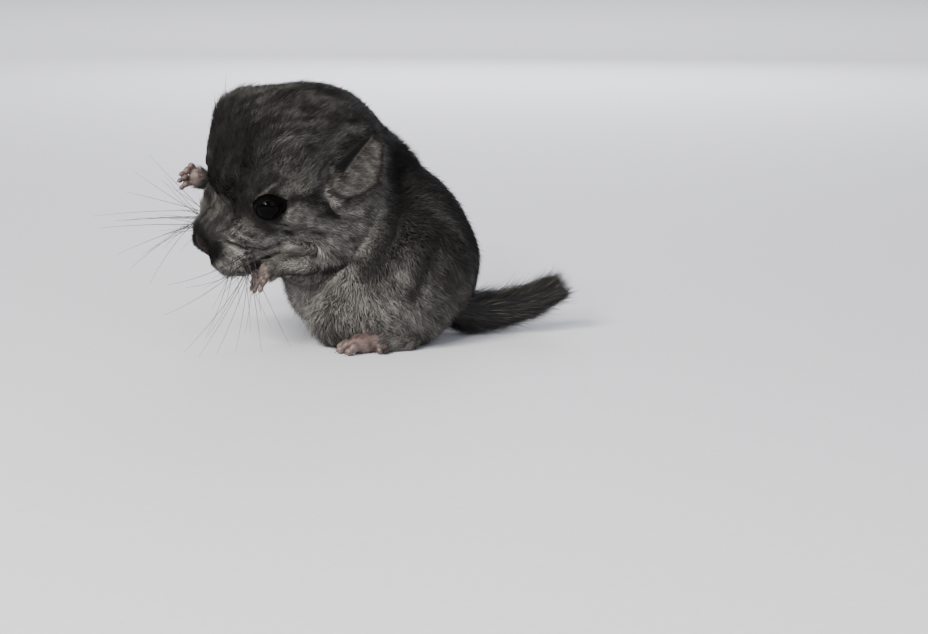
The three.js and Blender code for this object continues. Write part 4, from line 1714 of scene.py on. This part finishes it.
@dataclass
class Ear:
    """One ear: a thin cup of skin with a rolled rim and fine short hair."""

    side: Side
    rise: tuple[float, float, float]
    opening: tuple[float, float, float]
    plan: CoatPlan
    root: tuple[float, float, float] = (-1.5, 26.0, 9.6)
    length: float = 20.5
    width: float = 15.0
    depth: float = 5.0
    thickness: float = 1.0
    curl: float = 1.5
    hairs: int = 12000

    def axes(self) -> tuple[Points, Points, Points]:
        """The ear's rise, its width and its face in the head's frame."""
        rise = unit(vec(*self.rise))
        across = unit(np.cross(rise, vec(*self.opening)))
        return rise, across, np.cross(across, rise)

    def place(self, spots: Points) -> Points:
        """Moves points of a flat leaf, one unit in radius, to the cupped ear.

        Args:
            spots: x across, y from -1 at the root to 1 at the tip, z through the wall.

        Returns:
            Places in the pose's frame.
        """
        rise, across, face = self.axes()
        share = (spots[:, 1] + 1.0) / 2.0
        radial = np.minimum(1.0, np.hypot(spots[:, 0], spots[:, 1]))
        waist = 0.62 + 0.38 * np.sin(np.pi * np.minimum(1.0, 0.18 + share * 0.9))
        hollow = self.depth * (1.0 - radial**2) * (0.75 + 0.35 * (1.0 - share)) + self.curl * spots[:, 0] ** 2
        roll = np.exp(-(((radial - 0.93) / 0.07) ** 2)) * 0.35
        wall = (self.thickness / 2.0) * np.sign(spots[:, 2]) * np.sqrt(np.abs(spots[:, 2])) * (1.0 + roll)
        ribs = 0.05 * np.cos(spots[:, 1] * 16.0) * (1.0 - radial**4)
        ribs = ribs * smooth_step(0.2, 0.7, np.abs(spots[:, 0]))
        found = sided(vec(*self.root), self.side) + np.outer(share * self.length - 2.0, rise)
        found = found + np.outer(spots[:, 0] * self.width * waist / 2.0, across)
        found = HEAD.out(found + np.outer(wall - hollow + ribs, face))
        aside = spots[:, 0] * self.front_sign()
        tuck = smooth_step(0.5, 0.8, aside + 0.45 * smooth_step(-0.3, -0.8, spots[:, 1]))[:, None]
        under = settle(self.plan.head, found, -2.6 + wall * 0.4, 3)
        return found + (under - found) * tuck

    def build(self, material: bpy.types.Material, hair: bpy.types.Material) -> None:
        """Makes the ear's skin and its hair."""
        mesh = bmesh.new()
        bmesh.ops.create_uvsphere(mesh, u_segments=96, v_segments=64, radius=1.0)
        data = as_mesh(mesh, "ear")
        spots = read_points(data)
        radial = np.hypot(spots[:, 0], spots[:, 1])
        write_points(data, to_frame(self.place(spots)))
        # Painted shade for the skin: darker towards the rim, in the mouth of the ear and at its root.
        rim = smooth_step(0.8, 0.98, radial)
        slit = self.slit(spots)
        base = 1.0 - smooth_step(-0.7, -0.3, spots[:, 1])
        paint(data, "ear_tone", np.stack([rim * 0.8, np.maximum(slit, base * 0.4)], axis=1))
        finish_piece("ear_skin_" + self.side.word, data, material, ["ear_" + self.side.word])
        self.fuzz(hair)

    def slit(self, spots: Points) -> Points:
        """How far each place of the leaf lies in the mouth of the ear, which gets painted shade and little
        hair.
        """
        aside = spots[:, 0] * self.front_sign()
        share = smooth_step(0.14, 0.24, aside - 0.14 * spots[:, 1])
        return share * smooth_step(-0.55, -0.3, spots[:, 1]) * (spots[:, 2] > 0)

    def front_sign(self) -> float:
        """Which way across the ear is towards the nose."""
        return 1.0 if self.axes()[1][0] > 0 else -1.0

    def fuzz(self, material: bpy.types.Material) -> None:
        """Covers both faces of the ear with fine short hair that lies up and back."""
        rng = np.random.default_rng(41 + self.side.value)
        angle = rng.uniform(0, 2 * np.pi, self.hairs)
        radius = np.sqrt(rng.uniform(0, 1, self.hairs)) * 0.985
        x, y = radius * np.cos(angle), radius * np.sin(angle)
        face = np.where(rng.random(self.hairs) < 0.5, 1.0, -1.0)
        spots = np.stack([x, y, np.sqrt(np.maximum(1e-4, 1.0 - radius**2)) * face], axis=1)
        kept = rng.random(self.hairs) > 0.95 * smooth_step(0.2, 0.7, self.slit(spots))
        kept &= x * self.front_sign() < 0.8
        spots, radius, face = spots[kept], radius[kept], face[kept]
        x, y = spots[:, 0], spots[:, 1]
        count = len(x)
        here = self.place(spots)
        step = 0.02
        up = self.place(spots + vec(0, step, 0)) - here
        aside = self.place(spots + vec(step, 0, 0)) - here
        outward = HEAD.turn(self.axes()[2])
        normals = unit(np.cross(aside, up))
        normals *= np.sign((normals @ outward) * face)[:, None]
        slant = -self.front_sign() * 1.1
        ways = unit(unit(up) + unit(aside) * slant + rng.normal(0, 0.1, (count, 3)))
        ways = along_surface(ways, normals)
        edge = smooth_step(0.86, 0.96, radius)
        strands = cloud(np.stack([x * 0.5 + y * 0.2, y * 2.0, face], axis=1), 0.16, 42) - 0.5
        # The hair's tone carries painted shade, darker towards the rim and in the mouth of the ear, and is
        # paler at the root.
        tone = 0.39 + 0.24 * strands - 0.3 * edge - 0.5 * self.slit(spots) + 0.2 * smooth_step(-0.4, -0.9, y)
        tone = np.clip(tone + rng.normal(0, 0.05, count), 0.0, 1.0)
        tufts = Tufts(
            here,
            normals,
            ways,
            rng.uniform(1.6, 2.8, count),
            rng.uniform(0.06, 0.1, count),
            rng.uniform(0.1, 0.2, count),
            rng.uniform(0.0, 0.06, count),
            tone,
            rng.random(count),
            self.leaf_map(spots),
        )
        tufts.grow("ear_hair_" + self.side.word, material, "ear_skin")

    @staticmethod
    def leaf_map(spots: Points) -> Points:
        """Where places of the leaf lie on its flat map, its front on the left and its back on the right."""
        aside = np.where(spots[:, 2] > 0, 0.25, 0.75)
        return np.stack([spots[:, 0] * 0.2 + aside, spots[:, 1] * 0.2 + 0.5], axis=1)


@dataclass
class Eye:
    """One eye and its lids."""

    side: Side
    bulge: float = 0.35

    def axis(self) -> Points:
        """The way the eye looks, in the pose's frame."""
        return HEAD.turn(sided(EYE_AXIS, self.side))

    def centre(self) -> Points:
        """The middle of the eyeball, in the pose's frame."""
        return HEAD.out(sided(EYE_PLACE, self.side))

    def lid_axes(self) -> tuple[Points, Points]:
        """The long and the short way of the opening between the lids."""
        eye_left = HEAD.turn(EYE_AXIS)
        slant = math.radians(14.0)
        long_way = vec(math.cos(slant), 0, math.sin(slant))
        long_way = unit(long_way - eye_left * (long_way @ eye_left))
        local = HEAD.basis() @ long_way
        rear = HEAD.turn(sided(local, self.side))
        over = unit(np.cross(self.axis(), rear))
        if over[2] < 0:
            over = -over
        return rear, over

    def ball(self, material: bpy.types.Material) -> None:
        """Makes the eyeball with its cornea."""
        mesh = bmesh.new()
        bmesh.ops.create_uvsphere(mesh, u_segments=64, v_segments=48, radius=EYE_RADIUS)
        data = as_mesh(mesh, "eye")
        points = read_points(data)
        turn = Vector((0, 0, 1)).rotation_difference(Vector(self.axis())).to_matrix()
        cap = smooth_step(0.55, 1.0, points[:, 2] / EYE_RADIUS)
        points = points * (1.0 + self.bulge / EYE_RADIUS * cap[:, None])
        off = np.arccos(np.clip(unit(points)[:, 2], -1, 1)) / math.radians(75)
        write_points(data, to_frame(points @ np.array(turn).T + self.centre()))
        paint(data, "eye_tone", np.clip(off, 0, 1)[:, None])
        finish_piece("eyeball_" + self.side.word, data, material, ["eye_" + self.side.word])

    def lids(self, material: bpy.types.Material, skin: Mass, plan: CoatPlan) -> None:
        """Makes the lids: a moist rim on the eyeball that runs out into the skin as an almond."""
        rear, over = self.lid_axes()
        axis, centre = self.axis(), self.centre()
        steps = 72
        turn = np.arange(steps) / steps * 2 * np.pi
        side_way, up_way = np.cos(turn), np.sin(turn)
        pointed = np.sign(up_way) * np.abs(up_way) ** 1.25
        inner_wide = np.where(side_way > 0, 3.75, 3.35)
        inner_high = np.where(up_way > 0, 2.75, 2.7)
        outer_wide = np.where(side_way > 0, 5.7, 4.6)
        outer_high = 3.5
        # Width, height and lift of each line of the lid's edge, from under it to its outer side.
        lines = ((0.985, 0.97, -0.1), (0.98, 0.96, 0.2), (1.03, 1.04, 0.38), (1.13, 1.16, 0.36))

        def on_ball(wide: Points, high: Points, radius: float) -> Points:
            """A closed line on a ball about the eye."""
            flat = np.outer(side_way * wide, rear) + np.outer(pointed * high, over)
            drop = np.sqrt(np.maximum(radius**2 - (flat**2).sum(1), 0.4))
            return centre + flat + drop[:, None] * axis

        rows = [on_ball(inner_wide * w, inner_high * h, EYE_RADIUS + lift) for w, h, lift in lines]
        outer = np.outer(side_way * outer_wide, rear) + np.outer(pointed * outer_high, over)
        outer = outer + centre + axis * 2.6
        outer = settle(skin, outer, -plan.depth(outer) + 0.05, 6)
        last = rows[-1]
        rows += [last + (outer - last) * share for share in (0.35, 0.7, 1.0)]
        rows.append(outer - axis * 0.8)
        mesh = bmesh.new()
        rings = [[mesh.verts.new(Vector(p)) for p in row] for row in rows]
        for ring in rings:
            for i, vert in enumerate(ring):
                mesh.edges.new((vert, ring[(i + 1) % steps]))
        for low, high in zip(rings, rings[1:]):
            edges = [mesh.edges.get((r[i], r[(i + 1) % steps])) for r in (low, high) for i in range(steps)]
            bmesh.ops.bridge_loops(mesh, edges=edges)
        bmesh.ops.recalc_face_normals(mesh, faces=mesh.faces)
        if sum(f.normal.dot(Vector(axis)) for f in mesh.faces) < 0:
            bmesh.ops.reverse_faces(mesh, faces=mesh.faces)
        bmesh.ops.subdivide_edges(mesh, edges=list(mesh.edges), cuts=1, use_grid_fill=True, smooth=0.6)
        data = as_mesh(mesh, "lids")
        write_points(data, to_frame(read_points(data)))
        finish_piece("eyelids_" + self.side.word, data, material)


@dataclass
class Paw:
    """One foot with its digits and claws, as one piece of bare skin."""

    label: str
    node: str
    palm: tuple[Mass, ...]
    digits: tuple[tuple[Points, Points, Points], ...]
    radius: float
    claw: float
    furred_from: Points
    furred_to: Points
    voxel: float = 0.26

    def digit_masses(self) -> list[Mass]:
        """Each digit: two bones with a swollen joint and a soft pad at its end."""
        found: list[Mass] = []
        for root, knuckle, tip in self.digits:
            bones = (
                Limb(triple(root), triple(knuckle), self.radius, self.radius * 0.86),
                Limb(triple(knuckle), triple(tip), self.radius * 0.86, self.radius * 0.62),
            )
            joint = Ball(triple(knuckle), (self.radius * 1.02,) * 3)
            pad = Ball(triple(tip + (knuckle - tip) * 0.12), (self.radius * 0.78,) * 3)
            found.append(Melt(0.5, (*bones, joint, pad)))
        return found

    def build(self, material: bpy.types.Material, horn: bpy.types.Material, hair: bpy.types.Material) -> None:
        """Makes the paw's skin, its claws and the fur at its root."""
        whole = Melt(0.55, (Melt(1.2, self.palm), *self.digit_masses()))
        mesh = bmesh.new()
        whole.lump(mesh, Matrix.Identity(4))
        data = remeshed(mesh, self.voxel)
        points = read_points(data)
        edges = edge_pairs(data)
        for _ in range(3):
            points = settle(whole, relax(points, edges, 0.4), 0.0, 2)
        ring = np.sin((points @ vec(0.7, 0.5, 0.5)) * 9.0) * 0.035
        points = settle(whole, points, ring, 2)
        points[:, 2] = np.maximum(points[:, 2], 0.05)
        write_points(data, points)
        data.shade_smooth()
        unwrap(data)
        self.cuff(data, hair)
        write_points(data, to_frame(points))
        finish_piece("paw_skin_" + self.label, data, material, [self.node])
        self.claws(horn)

    def cuff(self, skin: bpy.types.Mesh, material: bpy.types.Material) -> None:
        """Covers the wrist or the heel with fur that points to the digits."""
        rng = np.random.default_rng(len(self.label) + int(abs(self.furred_from[0]) * 10))
        along = self.furred_to - self.furred_from
        sample = SkinSample.draw(skin, lambda points: np.full(len(points), 13.0), rng)
        share = (sample.points - self.furred_from) @ along / (along @ along)
        fade = 1.0 - smooth_step(0.75, 1.1, share + rng.normal(0, 0.06, len(share)))
        sample = sample.kept((rng.random(len(share)) < fade) & (sample.points[:, 2] > 0.7))
        count = len(sample.points)
        ways = unit(unit(along) + vec(0, 0, -0.35) + rng.normal(0, 0.22, (count, 3)))
        ways = along_surface(ways, sample.normals)
        tufts = Tufts(
            sample.points,
            sample.normals,
            ways,
            rng.uniform(1.8, 3.0, count),
            rng.uniform(0.12, 0.19, count),
            rng.uniform(0.35, 0.7, count),
            rng.uniform(-0.05, 0.25, count),
            np.clip(0.5 + 0.5 * (cloud(sample.points, 1.6, 15) - 0.5), 0.0, 1.0),
            rng.random(count),
            sample.unwrap,
        )
        tufts.grow("paw_fur_" + self.label, material, "coat")

    def claws(self, horn: bpy.types.Material) -> None:
        """Makes the claws, each a short bent cone out of the end of its digit."""
        mesh = bmesh.new()
        for _, knuckle, tip in self.digits:
            way = unit(tip - knuckle)
            turn = Vector((0, 0, 1)).rotation_difference(Vector(way)).to_matrix().to_4x4()
            base = tip + way * self.radius * 0.25 + vec(0, 0, self.radius * 0.22)
            made = bmesh.ops.create_cone(
                mesh,
                segments=10,
                radius1=self.radius * 0.30,
                radius2=self.radius * 0.05,
                depth=self.claw,
                cap_ends=True,
                matrix=Matrix.Translation(Vector(base + way * self.claw * 0.4)) @ turn,
            )
            edges = {edge for vert in made["verts"] for edge in vert.link_edges}
            sides = [edge for edge in edges if edge.calc_length() > self.claw * 0.7]
            bmesh.ops.subdivide_edges(mesh, edges=sides, cuts=3)
            for vert in mesh.verts:
                off = (Vector(tip) - vert.co).length
                if off < self.claw * 1.6 and vert.co.z > 0.3:
                    vert.co.z -= 0.12 * off * off
        data = as_mesh(mesh, "claws")
        points = read_points(data)
        points[:, 2] = np.maximum(points[:, 2], 0.08)
        write_points(data, to_frame(points))
        finish_piece("claws_" + self.label, data, horn)


def at_height(place: Points, height: float) -> Points:
    """A place moved straight up or down to a height over the floor."""
    return place * vec(1, 1, 0) + vec(0, 0, height)


def hind_foot(side: Side) -> Paw:
    """A hind foot: a long sole on the floor with three long toes and a short one."""
    if side is Side.LEFT:
        heel, front = vec(17, -19.5, 3.4), vec(4.5, -24.3, 2.6)
    else:
        heel, front = vec(14, 23, 3.4), vec(2, 26, 2.6)
    way = unit((front - heel) * vec(1, 1, 0))
    out = vec(-way[1], way[0], 0) * side.value
    digits = []
    for aside, reach in zip((-2.9, -0.1, 2.7), (5.6, 7.0, 5.4)):
        root = front + out * aside * 0.8
        knuckle = at_height(front + out * aside * 1.2 + way * reach * 0.6, 2.3)
        tip = at_height(front + out * aside * 1.35 + way * reach * 0.92, 1.15)
        digits.append((root, knuckle, tip))
    thumb = at_height(heel + (front - heel) * 0.5 + out * 2.6, 1.8)
    thumb_tip = at_height(thumb + way * 2.6 + out * 2.0, 1.05)
    digits.append((thumb, (thumb + thumb_tip) / 2.0, thumb_tip))
    sole = (Limb(triple(heel), triple(front), 3.9, 3.0), Ball(triple(front), (3.8, 4.2, 2.6)))
    label, node_name = "hind_" + side.word, "hind_foot_" + side.word
    return Paw(label, node_name, sole, tuple(digits), 1.45, 1.5, heel, heel + (front - heel) * 0.62)


def forepaw(side: Side) -> Paw:
    """A front paw: the wrist, the palm and four slim fingers that curl down."""
    if side is Side.LEFT:
        wrist, palm = vec(-18.7, -20, 24.8), vec(-22.4, -21.5, 23.6)
        way, aside = unit(vec(-0.72, -0.2, -0.66)), unit(vec(0.45, -0.85, -0.25))
    else:
        wrist, palm = vec(-40, 19, 43), vec(-46.5, 14.5, 46)
        way, aside = unit(vec(-0.8, -0.5, 0.32)), unit(vec(0.25, 0.25, 0.94))
    digits = []
    for offset, reach in zip((-2.2, -0.8, 0.75, 2.1), (4.6, 5.8, 5.8, 4.4)):
        root = palm + aside * offset * 0.75
        knuckle = palm + aside * offset * 1.35 + way * reach * 0.7
        tip = knuckle + way * reach * 0.35 + vec(0, 0, -1.6)
        digits.append((root, knuckle, tip))
    hand = (Limb(triple(wrist), triple(palm), 2.2, 2.2), Ball(triple(palm), (2.35, 2.35, 2.35)))
    label, node_name = "fore_" + side.word, "forepaw_" + side.word
    return Paw(label, node_name, hand, tuple(digits), 0.84, 1.2, wrist, palm, 0.2)


def tube(mesh: bmesh.types.BMesh, path: Points, radii: Points, sides: int) -> int:
    """Adds a closed tapering tube along a line.

    Args:
        mesh: The mesh that it joins.
        path: The places along its middle.
        radii: Its radius at each place.
        sides: How many sides it has.

    Returns:
        How many corners it has.
    """
    along = unit(np.gradient(path, axis=0))
    across = unit(np.cross(along, vec(0.21, 0.13, 0.97)))
    over = np.cross(across, along)
    rings = []
    for place, radius, u, v in zip(path, radii, across, over):
        turn = np.arange(sides) / sides * 2 * np.pi
        ring = place + radius * (np.outer(np.cos(turn), u) + np.outer(np.sin(turn), v))
        rings.append([mesh.verts.new(Vector(p)) for p in ring])
    for low, high in zip(rings, rings[1:]):
        for i in range(sides):
            mesh.faces.new((low[i], low[(i + 1) % sides], high[(i + 1) % sides], high[i]))
    mesh.faces.new(list(reversed(rings[0])))
    mesh.faces.new(rings[-1])
    return sides * len(rings)


def bent_line(start: Points, middle: Points, end: Points, steps: int) -> Points:
    """A smooth bend from start to end that leans towards middle."""
    share = np.linspace(0, 1, steps)[:, None]
    return start * (1 - share) ** 2 + 2 * middle * share * (1 - share) + end * share**2


@dataclass
class Whiskers:
    """One side's fan of whiskers, long ones and short ones, black and pale mixed."""

    side: Side
    tips: tuple[tuple[float, float, float], ...]
    seed: int
    extra: int = 20
    root_radius: float = 0.125
    tip_radius: float = 0.035
    steps: int = 12
    sides: int = 5
    greys: tuple[float, ...] = (0.03, 0.1, 0.35)

    def build(self, material: bpy.types.Material, head: Mass) -> None:
        """Makes the fan as one piece."""
        rng = np.random.default_rng(self.seed)
        mesh = bmesh.new()
        tones: list[float] = []
        lean = HEAD.turn(unit(vec(0.25, 0.95 * self.side.value, -0.1)))
        known = np.array(self.tips, float)
        grid = whisker_grid(self.side, len(known) + self.extra)
        roots = settle(head, grid + rng.normal(0, 0.2, grid.shape), -0.8, 4)
        for number, root in enumerate(roots):
            if number < len(known):
                tip, share = known[number], 1.0
            else:
                pick = rng.integers(0, len(known))
                other = known[(pick + 1) % len(known)]
                tip = known[pick] + (other - known[pick]) * rng.uniform(0, 0.8)
                share = rng.uniform(0.3, 0.85)
            end = root + (tip - root) * share
            bulge = root + (end - root) * 0.45 + lean * (3.5 * share + rng.normal(0, 0.8))
            path = bent_line(root, bulge, end, self.steps)
            radii = np.linspace(self.root_radius, self.tip_radius, self.steps) * (0.6 + 0.4 * share)
            corners = tube(mesh, path, radii, self.sides)
            tones += [float(np.clip(rng.choice(self.greys) + rng.normal(0, 0.08), 0, 1))] * corners
        data = as_mesh(mesh, "whiskers")
        write_points(data, to_frame(read_points(data)))
        paint(data, "hair_tone", np.array(tones)[:, None])
        word = self.side.word
        finish_piece("whisker_fan_" + word, data, material, ["whiskers_" + word])


@dataclass
class Tail:
    """The tail: a slim core under long coarse hair that sweeps back and ends in points."""

    path: tuple[tuple[float, float, float], ...] = (
        (26, 3, 8),
        (34, 4, 6.4),
        (43, 5, 6.6),
        (52, 6, 8.6),
        (59, 7.2, 11.4),
    )
    core: float = 2.6
    hairs: int = 18500
    seed: int = 61

    def line(self, share: Points) -> tuple[Points, Points]:
        """Places and directions along the tail's middle."""
        knots = np.array(self.path, float)
        at = np.linspace(0, 1, len(knots))
        fine = np.linspace(0, 1, 200)
        dense = np.stack([np.interp(fine, at, knots[:, i]) for i in range(3)], axis=1)
        for _ in range(60):
            dense[1:-1] = (dense[:-2] + dense[2:]) / 2.0
        ways = unit(np.gradient(dense, axis=0))
        place = np.stack([np.interp(share, fine, dense[:, i]) for i in range(3)], axis=1)
        way = np.stack([np.interp(share, fine, ways[:, i]) for i in range(3)], axis=1)
        return place, unit(way)

    def build(self, skin: bpy.types.Material, hair: bpy.types.Material) -> None:
        """Makes the core and its hair."""
        mesh = bmesh.new()
        share = np.linspace(0, 1, 40)
        place, _ = self.line(share)
        tube(mesh, place, self.core * (1.0 - 0.5 * share), 20)
        data = as_mesh(mesh, "tail")
        points = read_points(data)
        points[:, 2] = np.maximum(points[:, 2], 0.4)
        write_points(data, to_frame(points))
        paint(data, "coat_tone", np.tile(vec(0.1, 0, 0), (len(points), 1)))
        finish_piece("tail_core", data, skin, ["tail"])
        self.tufts().grow("tail_hair", hair, "tail_coat")

    def tufts(self) -> Tufts:
        """The tail's hairs, a little shorter and flatter towards its end."""
        rng = np.random.default_rng(self.seed)
        count = self.hairs
        share = rng.uniform(0, 1, count) ** 0.8
        angle = rng.uniform(0, 2 * np.pi, count)
        place, way = self.line(share)
        aside = unit(np.cross(vec(0, 0, 1), way))
        over = np.cross(way, aside)
        out = aside * np.cos(angle)[:, None] + over * np.sin(angle)[:, None]
        roots = place + out * (self.core * (1.0 - 0.5 * share))[:, None] * 0.9
        lengths = rng.uniform(6.0, 11.5, count) * (1.0 - 0.35 * share * rng.random(count))
        ways = unit(way + rng.normal(0, 0.12, (count, 3)))
        ways = along_surface(ways, out)
        stray = rng.random(count) < 0.06
        raised = 0.18 * smooth_step(0.1, 0.7, out[:, 2])
        return Tufts(
            roots,
            out,
            ways,
            lengths * np.where(stray, 1.15, 1.0),
            rng.uniform(0.10, 0.20, count),
            rng.normal(0.62, 0.14, count) * (1.0 - 0.45 * share**3) + raised + np.where(stray, 0.2, 0.0),
            rng.normal(0.2, 0.16, count) - 0.2 * share**4 + raised + np.where(stray, 0.25, 0.0),
            np.full(count, 0.1),
            np.clip(rng.beta(2.0, 3.6, count) + np.where(stray, 0.35, 0.0), 0, 1),
            np.stack([share * 0.5 + 0.25, angle / (4 * np.pi) + 0.25], axis=1),
        )


# The studio.


@dataclass
class Studio:
    """A plain pale floor and soft light."""

    floor_size: float = 6.0

    def build(self) -> None:
        """Makes the floor, the lights and the grey of the room."""
        mesh = bmesh.new()
        bmesh.ops.create_grid(mesh, x_segments=2, y_segments=2, size=self.floor_size)
        data = as_mesh(mesh, "studio_floor", smooth=False)
        data.materials.append(StudioPaper().make())
        floor = bpy.data.objects.new("studio_floor", data)
        bpy.context.scene.collection.objects.link(floor)
        world = bpy.data.worlds.new("studio_room")
        world.use_nodes = True
        sky = world.node_tree.nodes["Background"]
        sky.inputs["Color"].default_value = linear("dfe1e8")
        sky.inputs["Strength"].default_value = 0.78
        bpy.context.scene.world = world
        self.light("key_light", (-0.55, -0.7, 0.8), 0.45, 19.5, "fffaf4")
        self.light("fill_light", (0.6, -0.7, 0.5), 0.6, 2.0, "eef2ff")
        self.light("far_light", (0.1, 1.0, 0.4), 0.5, 5.0, "f6f8ff")
        self.light("floor_light", (0.0, 1.4, 1.3), 1.2, 31.0, "ffffff", (0.0, 2.6, 0.0))
        self.light("catch_light", (-0.3, -0.9, 0.5), 0.13, 6.0, "ffffff")

    @staticmethod
    def light(
        name: str,
        place: tuple[float, float, float],
        size: float,
        power: float,
        colour: str,
        aim: tuple[float, float, float] = (0.0, 0.0, 0.04),
    ) -> None:
        """Adds one soft square light.

        Args:
            name: The light's name.
            place: Where it stands, in metres.
            size: The length of its sides in metres.
            power: Its power in watts.
            colour: Its hex colour.
            aim: The place that it faces.
        """
        data = bpy.data.lights.new(name, "AREA")
        data.energy, data.size = power, size
        data.color = linear(colour)[:3]
        lamp = bpy.data.objects.new(name, data)
        bpy.context.scene.collection.objects.link(lamp)
        lamp.location = Vector(place)
        lamp.rotation_mode = "QUATERNION"
        lamp.rotation_quaternion = (Vector(aim) - Vector(place)).to_track_quat("-Z", "Y")


# Streaks of the coat, with how pale each is, and some dark lines of painted shade in creases and under the
# nose. Their pixels say where they lie on the near side.
STREAKS_AND_CREASE_SHADE = (
    # Painted shade in the crease that runs back from the eye.
    Stroke(((284, 203), (300, 206), (318, 202), (330, 203)), 1.0, 0.08),
    Stroke(((254, 211), (260, 196), (274, 186), (290, 176)), 0.7, 0.62),
    Stroke(((288, 189), (300, 187), (310, 189)), 1.6, 0.40),
    Stroke(((255, 212), (261, 224), (273, 230)), 1.7, 0.12),
    # Painted shade under the nose.
    Stroke(((203, 238), (213, 246), (217, 256)), 2.3, 0.01),
    Stroke(((237, 231), (254, 240), (276, 243), (289, 240)), 0.7, 0.78),
    Stroke(((229, 240), (247, 248), (267, 250)), 0.7, 0.12),
    Stroke(((258, 258), (278, 251), (291, 246)), 1.0, 0.92),
    Stroke(((283, 260), (295, 258), (313, 255)), 0.7, 0.08),
    Stroke(((284, 267), (309, 266), (337, 263)), 1.6, 0.66),
    # Painted shadow under the lower edge of the cheek.
    Stroke(((281, 275), (319, 274), (343, 268), (365, 257)), 0.8, 0.14),
    Stroke(((300, 212), (322, 222), (345, 236)), 1.3, 0.60),
    Stroke(((316, 233), (325, 237)), 1.3, 0.16),
    Stroke(((292, 226), (310, 240), (330, 250)), 1.0, 0.56),
    Stroke(((329, 190), (334, 196), (341, 202)), 1.3, 1.0),
    Stroke(((345, 209), (355, 212), (367, 209)), 1.3, 0.76),
    # Painted shade in a cheek crease below the ear's root.
    Stroke(((330, 208), (337, 214), (344, 220)), 0.8, 0.14),
    Stroke(((311, 172), (322, 158), (336, 148)), 3.0, 0.44),
    Stroke(((382, 150), (389, 170), (388, 198), (379, 228), (366, 250)), 2.8, 0.66),
)
# Painted shade: darker troughs where one part of the body folds on another.
TROUGH_SHADE = (
    Stroke(((392, 130), (405, 158), (408, 192), (398, 234), (378, 274)), 4.4, 0.09, False),
    Stroke(((438, 247), (428, 268), (416, 297)), 2.2, 0.24, False),
)
# Folds of the skin, with their depth in millimetres.
FOLDS = (
    Stroke(((399, 166), (402, 192), (394, 230)), 2.6, 1.5, False),
    Stroke(((394, 230), (368, 276)), 2.6, 0.5, False),
    Stroke(((438, 247), (428, 268), (416, 297)), 2.6, 0.7, False),
    Stroke(((281, 275), (319, 274), (345, 269)), 1.2, 0.8),
    Stroke(((284, 203), (300, 206), (318, 202), (332, 204)), 1.0, 0.6),
    Stroke(((330, 208), (340, 217), (352, 222), (366, 218)), 1.0, 0.6),
    Stroke(((229, 240), (247, 248), (267, 250)), 0.8, 0.35),
)

WHISKER_TIPS = {
    Side.LEFT: (
        (-45, -38, 3),
        (-40.5, -42, 2.4),
        (-35.5, -40, 3),
        (-30, -42, 4),
        (-23, -40, 3.5),
        (-15, -36, 4),
        (-50, -40, 14),
        (-48, -48, 24),
    ),
    Side.RIGHT: (
        (-64, 4, 49),
        (-59, 2, 54),
        (-66, 0, 43.5),
        (-76, -2, 36.5),
        (-74, -6, 33.5),
        (-68, -8, 26),
        (-64, -10, 22),
        (-58, -12, 18),
    ),
}
# The rise and the opening of each ear in the head's frame.
EARS = {
    Side.LEFT: ((-0.825, -0.1, 0.543), (0.42, 0.76, 0.5)),
    Side.RIGHT: ((-0.9, 0.08, 0.15), (0.1, -0.95, 0.3)),
}


def main() -> None:
    """Builds the animal piece by piece round the CAD frame."""
    flesh = Flesh()
    plan = CoatPlan(flesh)
    coat_hair, coat_skin, bare = CoatHair().make(), CoatSkin().make(), BareSkin().make()
    skin = Pelt(flesh, plan).build()
    LOG.info("skin laid")
    Coat(plan).build(skin, coat_hair)
    write_points(skin, to_frame(read_points(skin)))
    flesh_nodes = ["head", "neck", "torso", "haunch_left", "haunch_right", "foreleg_left", "foreleg_right"]
    finish_piece("skin", skin, coat_skin, flesh_nodes)
    ear_skin, eye, lid = EarLeather().make(), WetEye().make(), LidSkin().make()
    head, whole = flesh.head(), flesh.whole()
    for side in Side:
        Ear(side, *EARS[side], plan).build(ear_skin, coat_hair)
    whisker = WhiskerHair().make()
    for side in Side:
        Eye(side).ball(eye)
        Eye(side).lids(lid, whole, plan)
        Whiskers(side, WHISKER_TIPS[side], 50 + side.value).build(whisker, head)
    horn = ClawHorn().make()
    for side in Side:
        hind_foot(side).build(bare, horn, coat_hair)
        forepaw(side).build(bare, horn, coat_hair)
    Tail().build(coat_skin, TailHair().make())
    Studio().build()
    StudioCamera().build()


if __name__ == "__main__":
    logging.basicConfig(level=logging.INFO, format="%(relativeCreated)7d ms %(name)s: %(message)s")
    main()
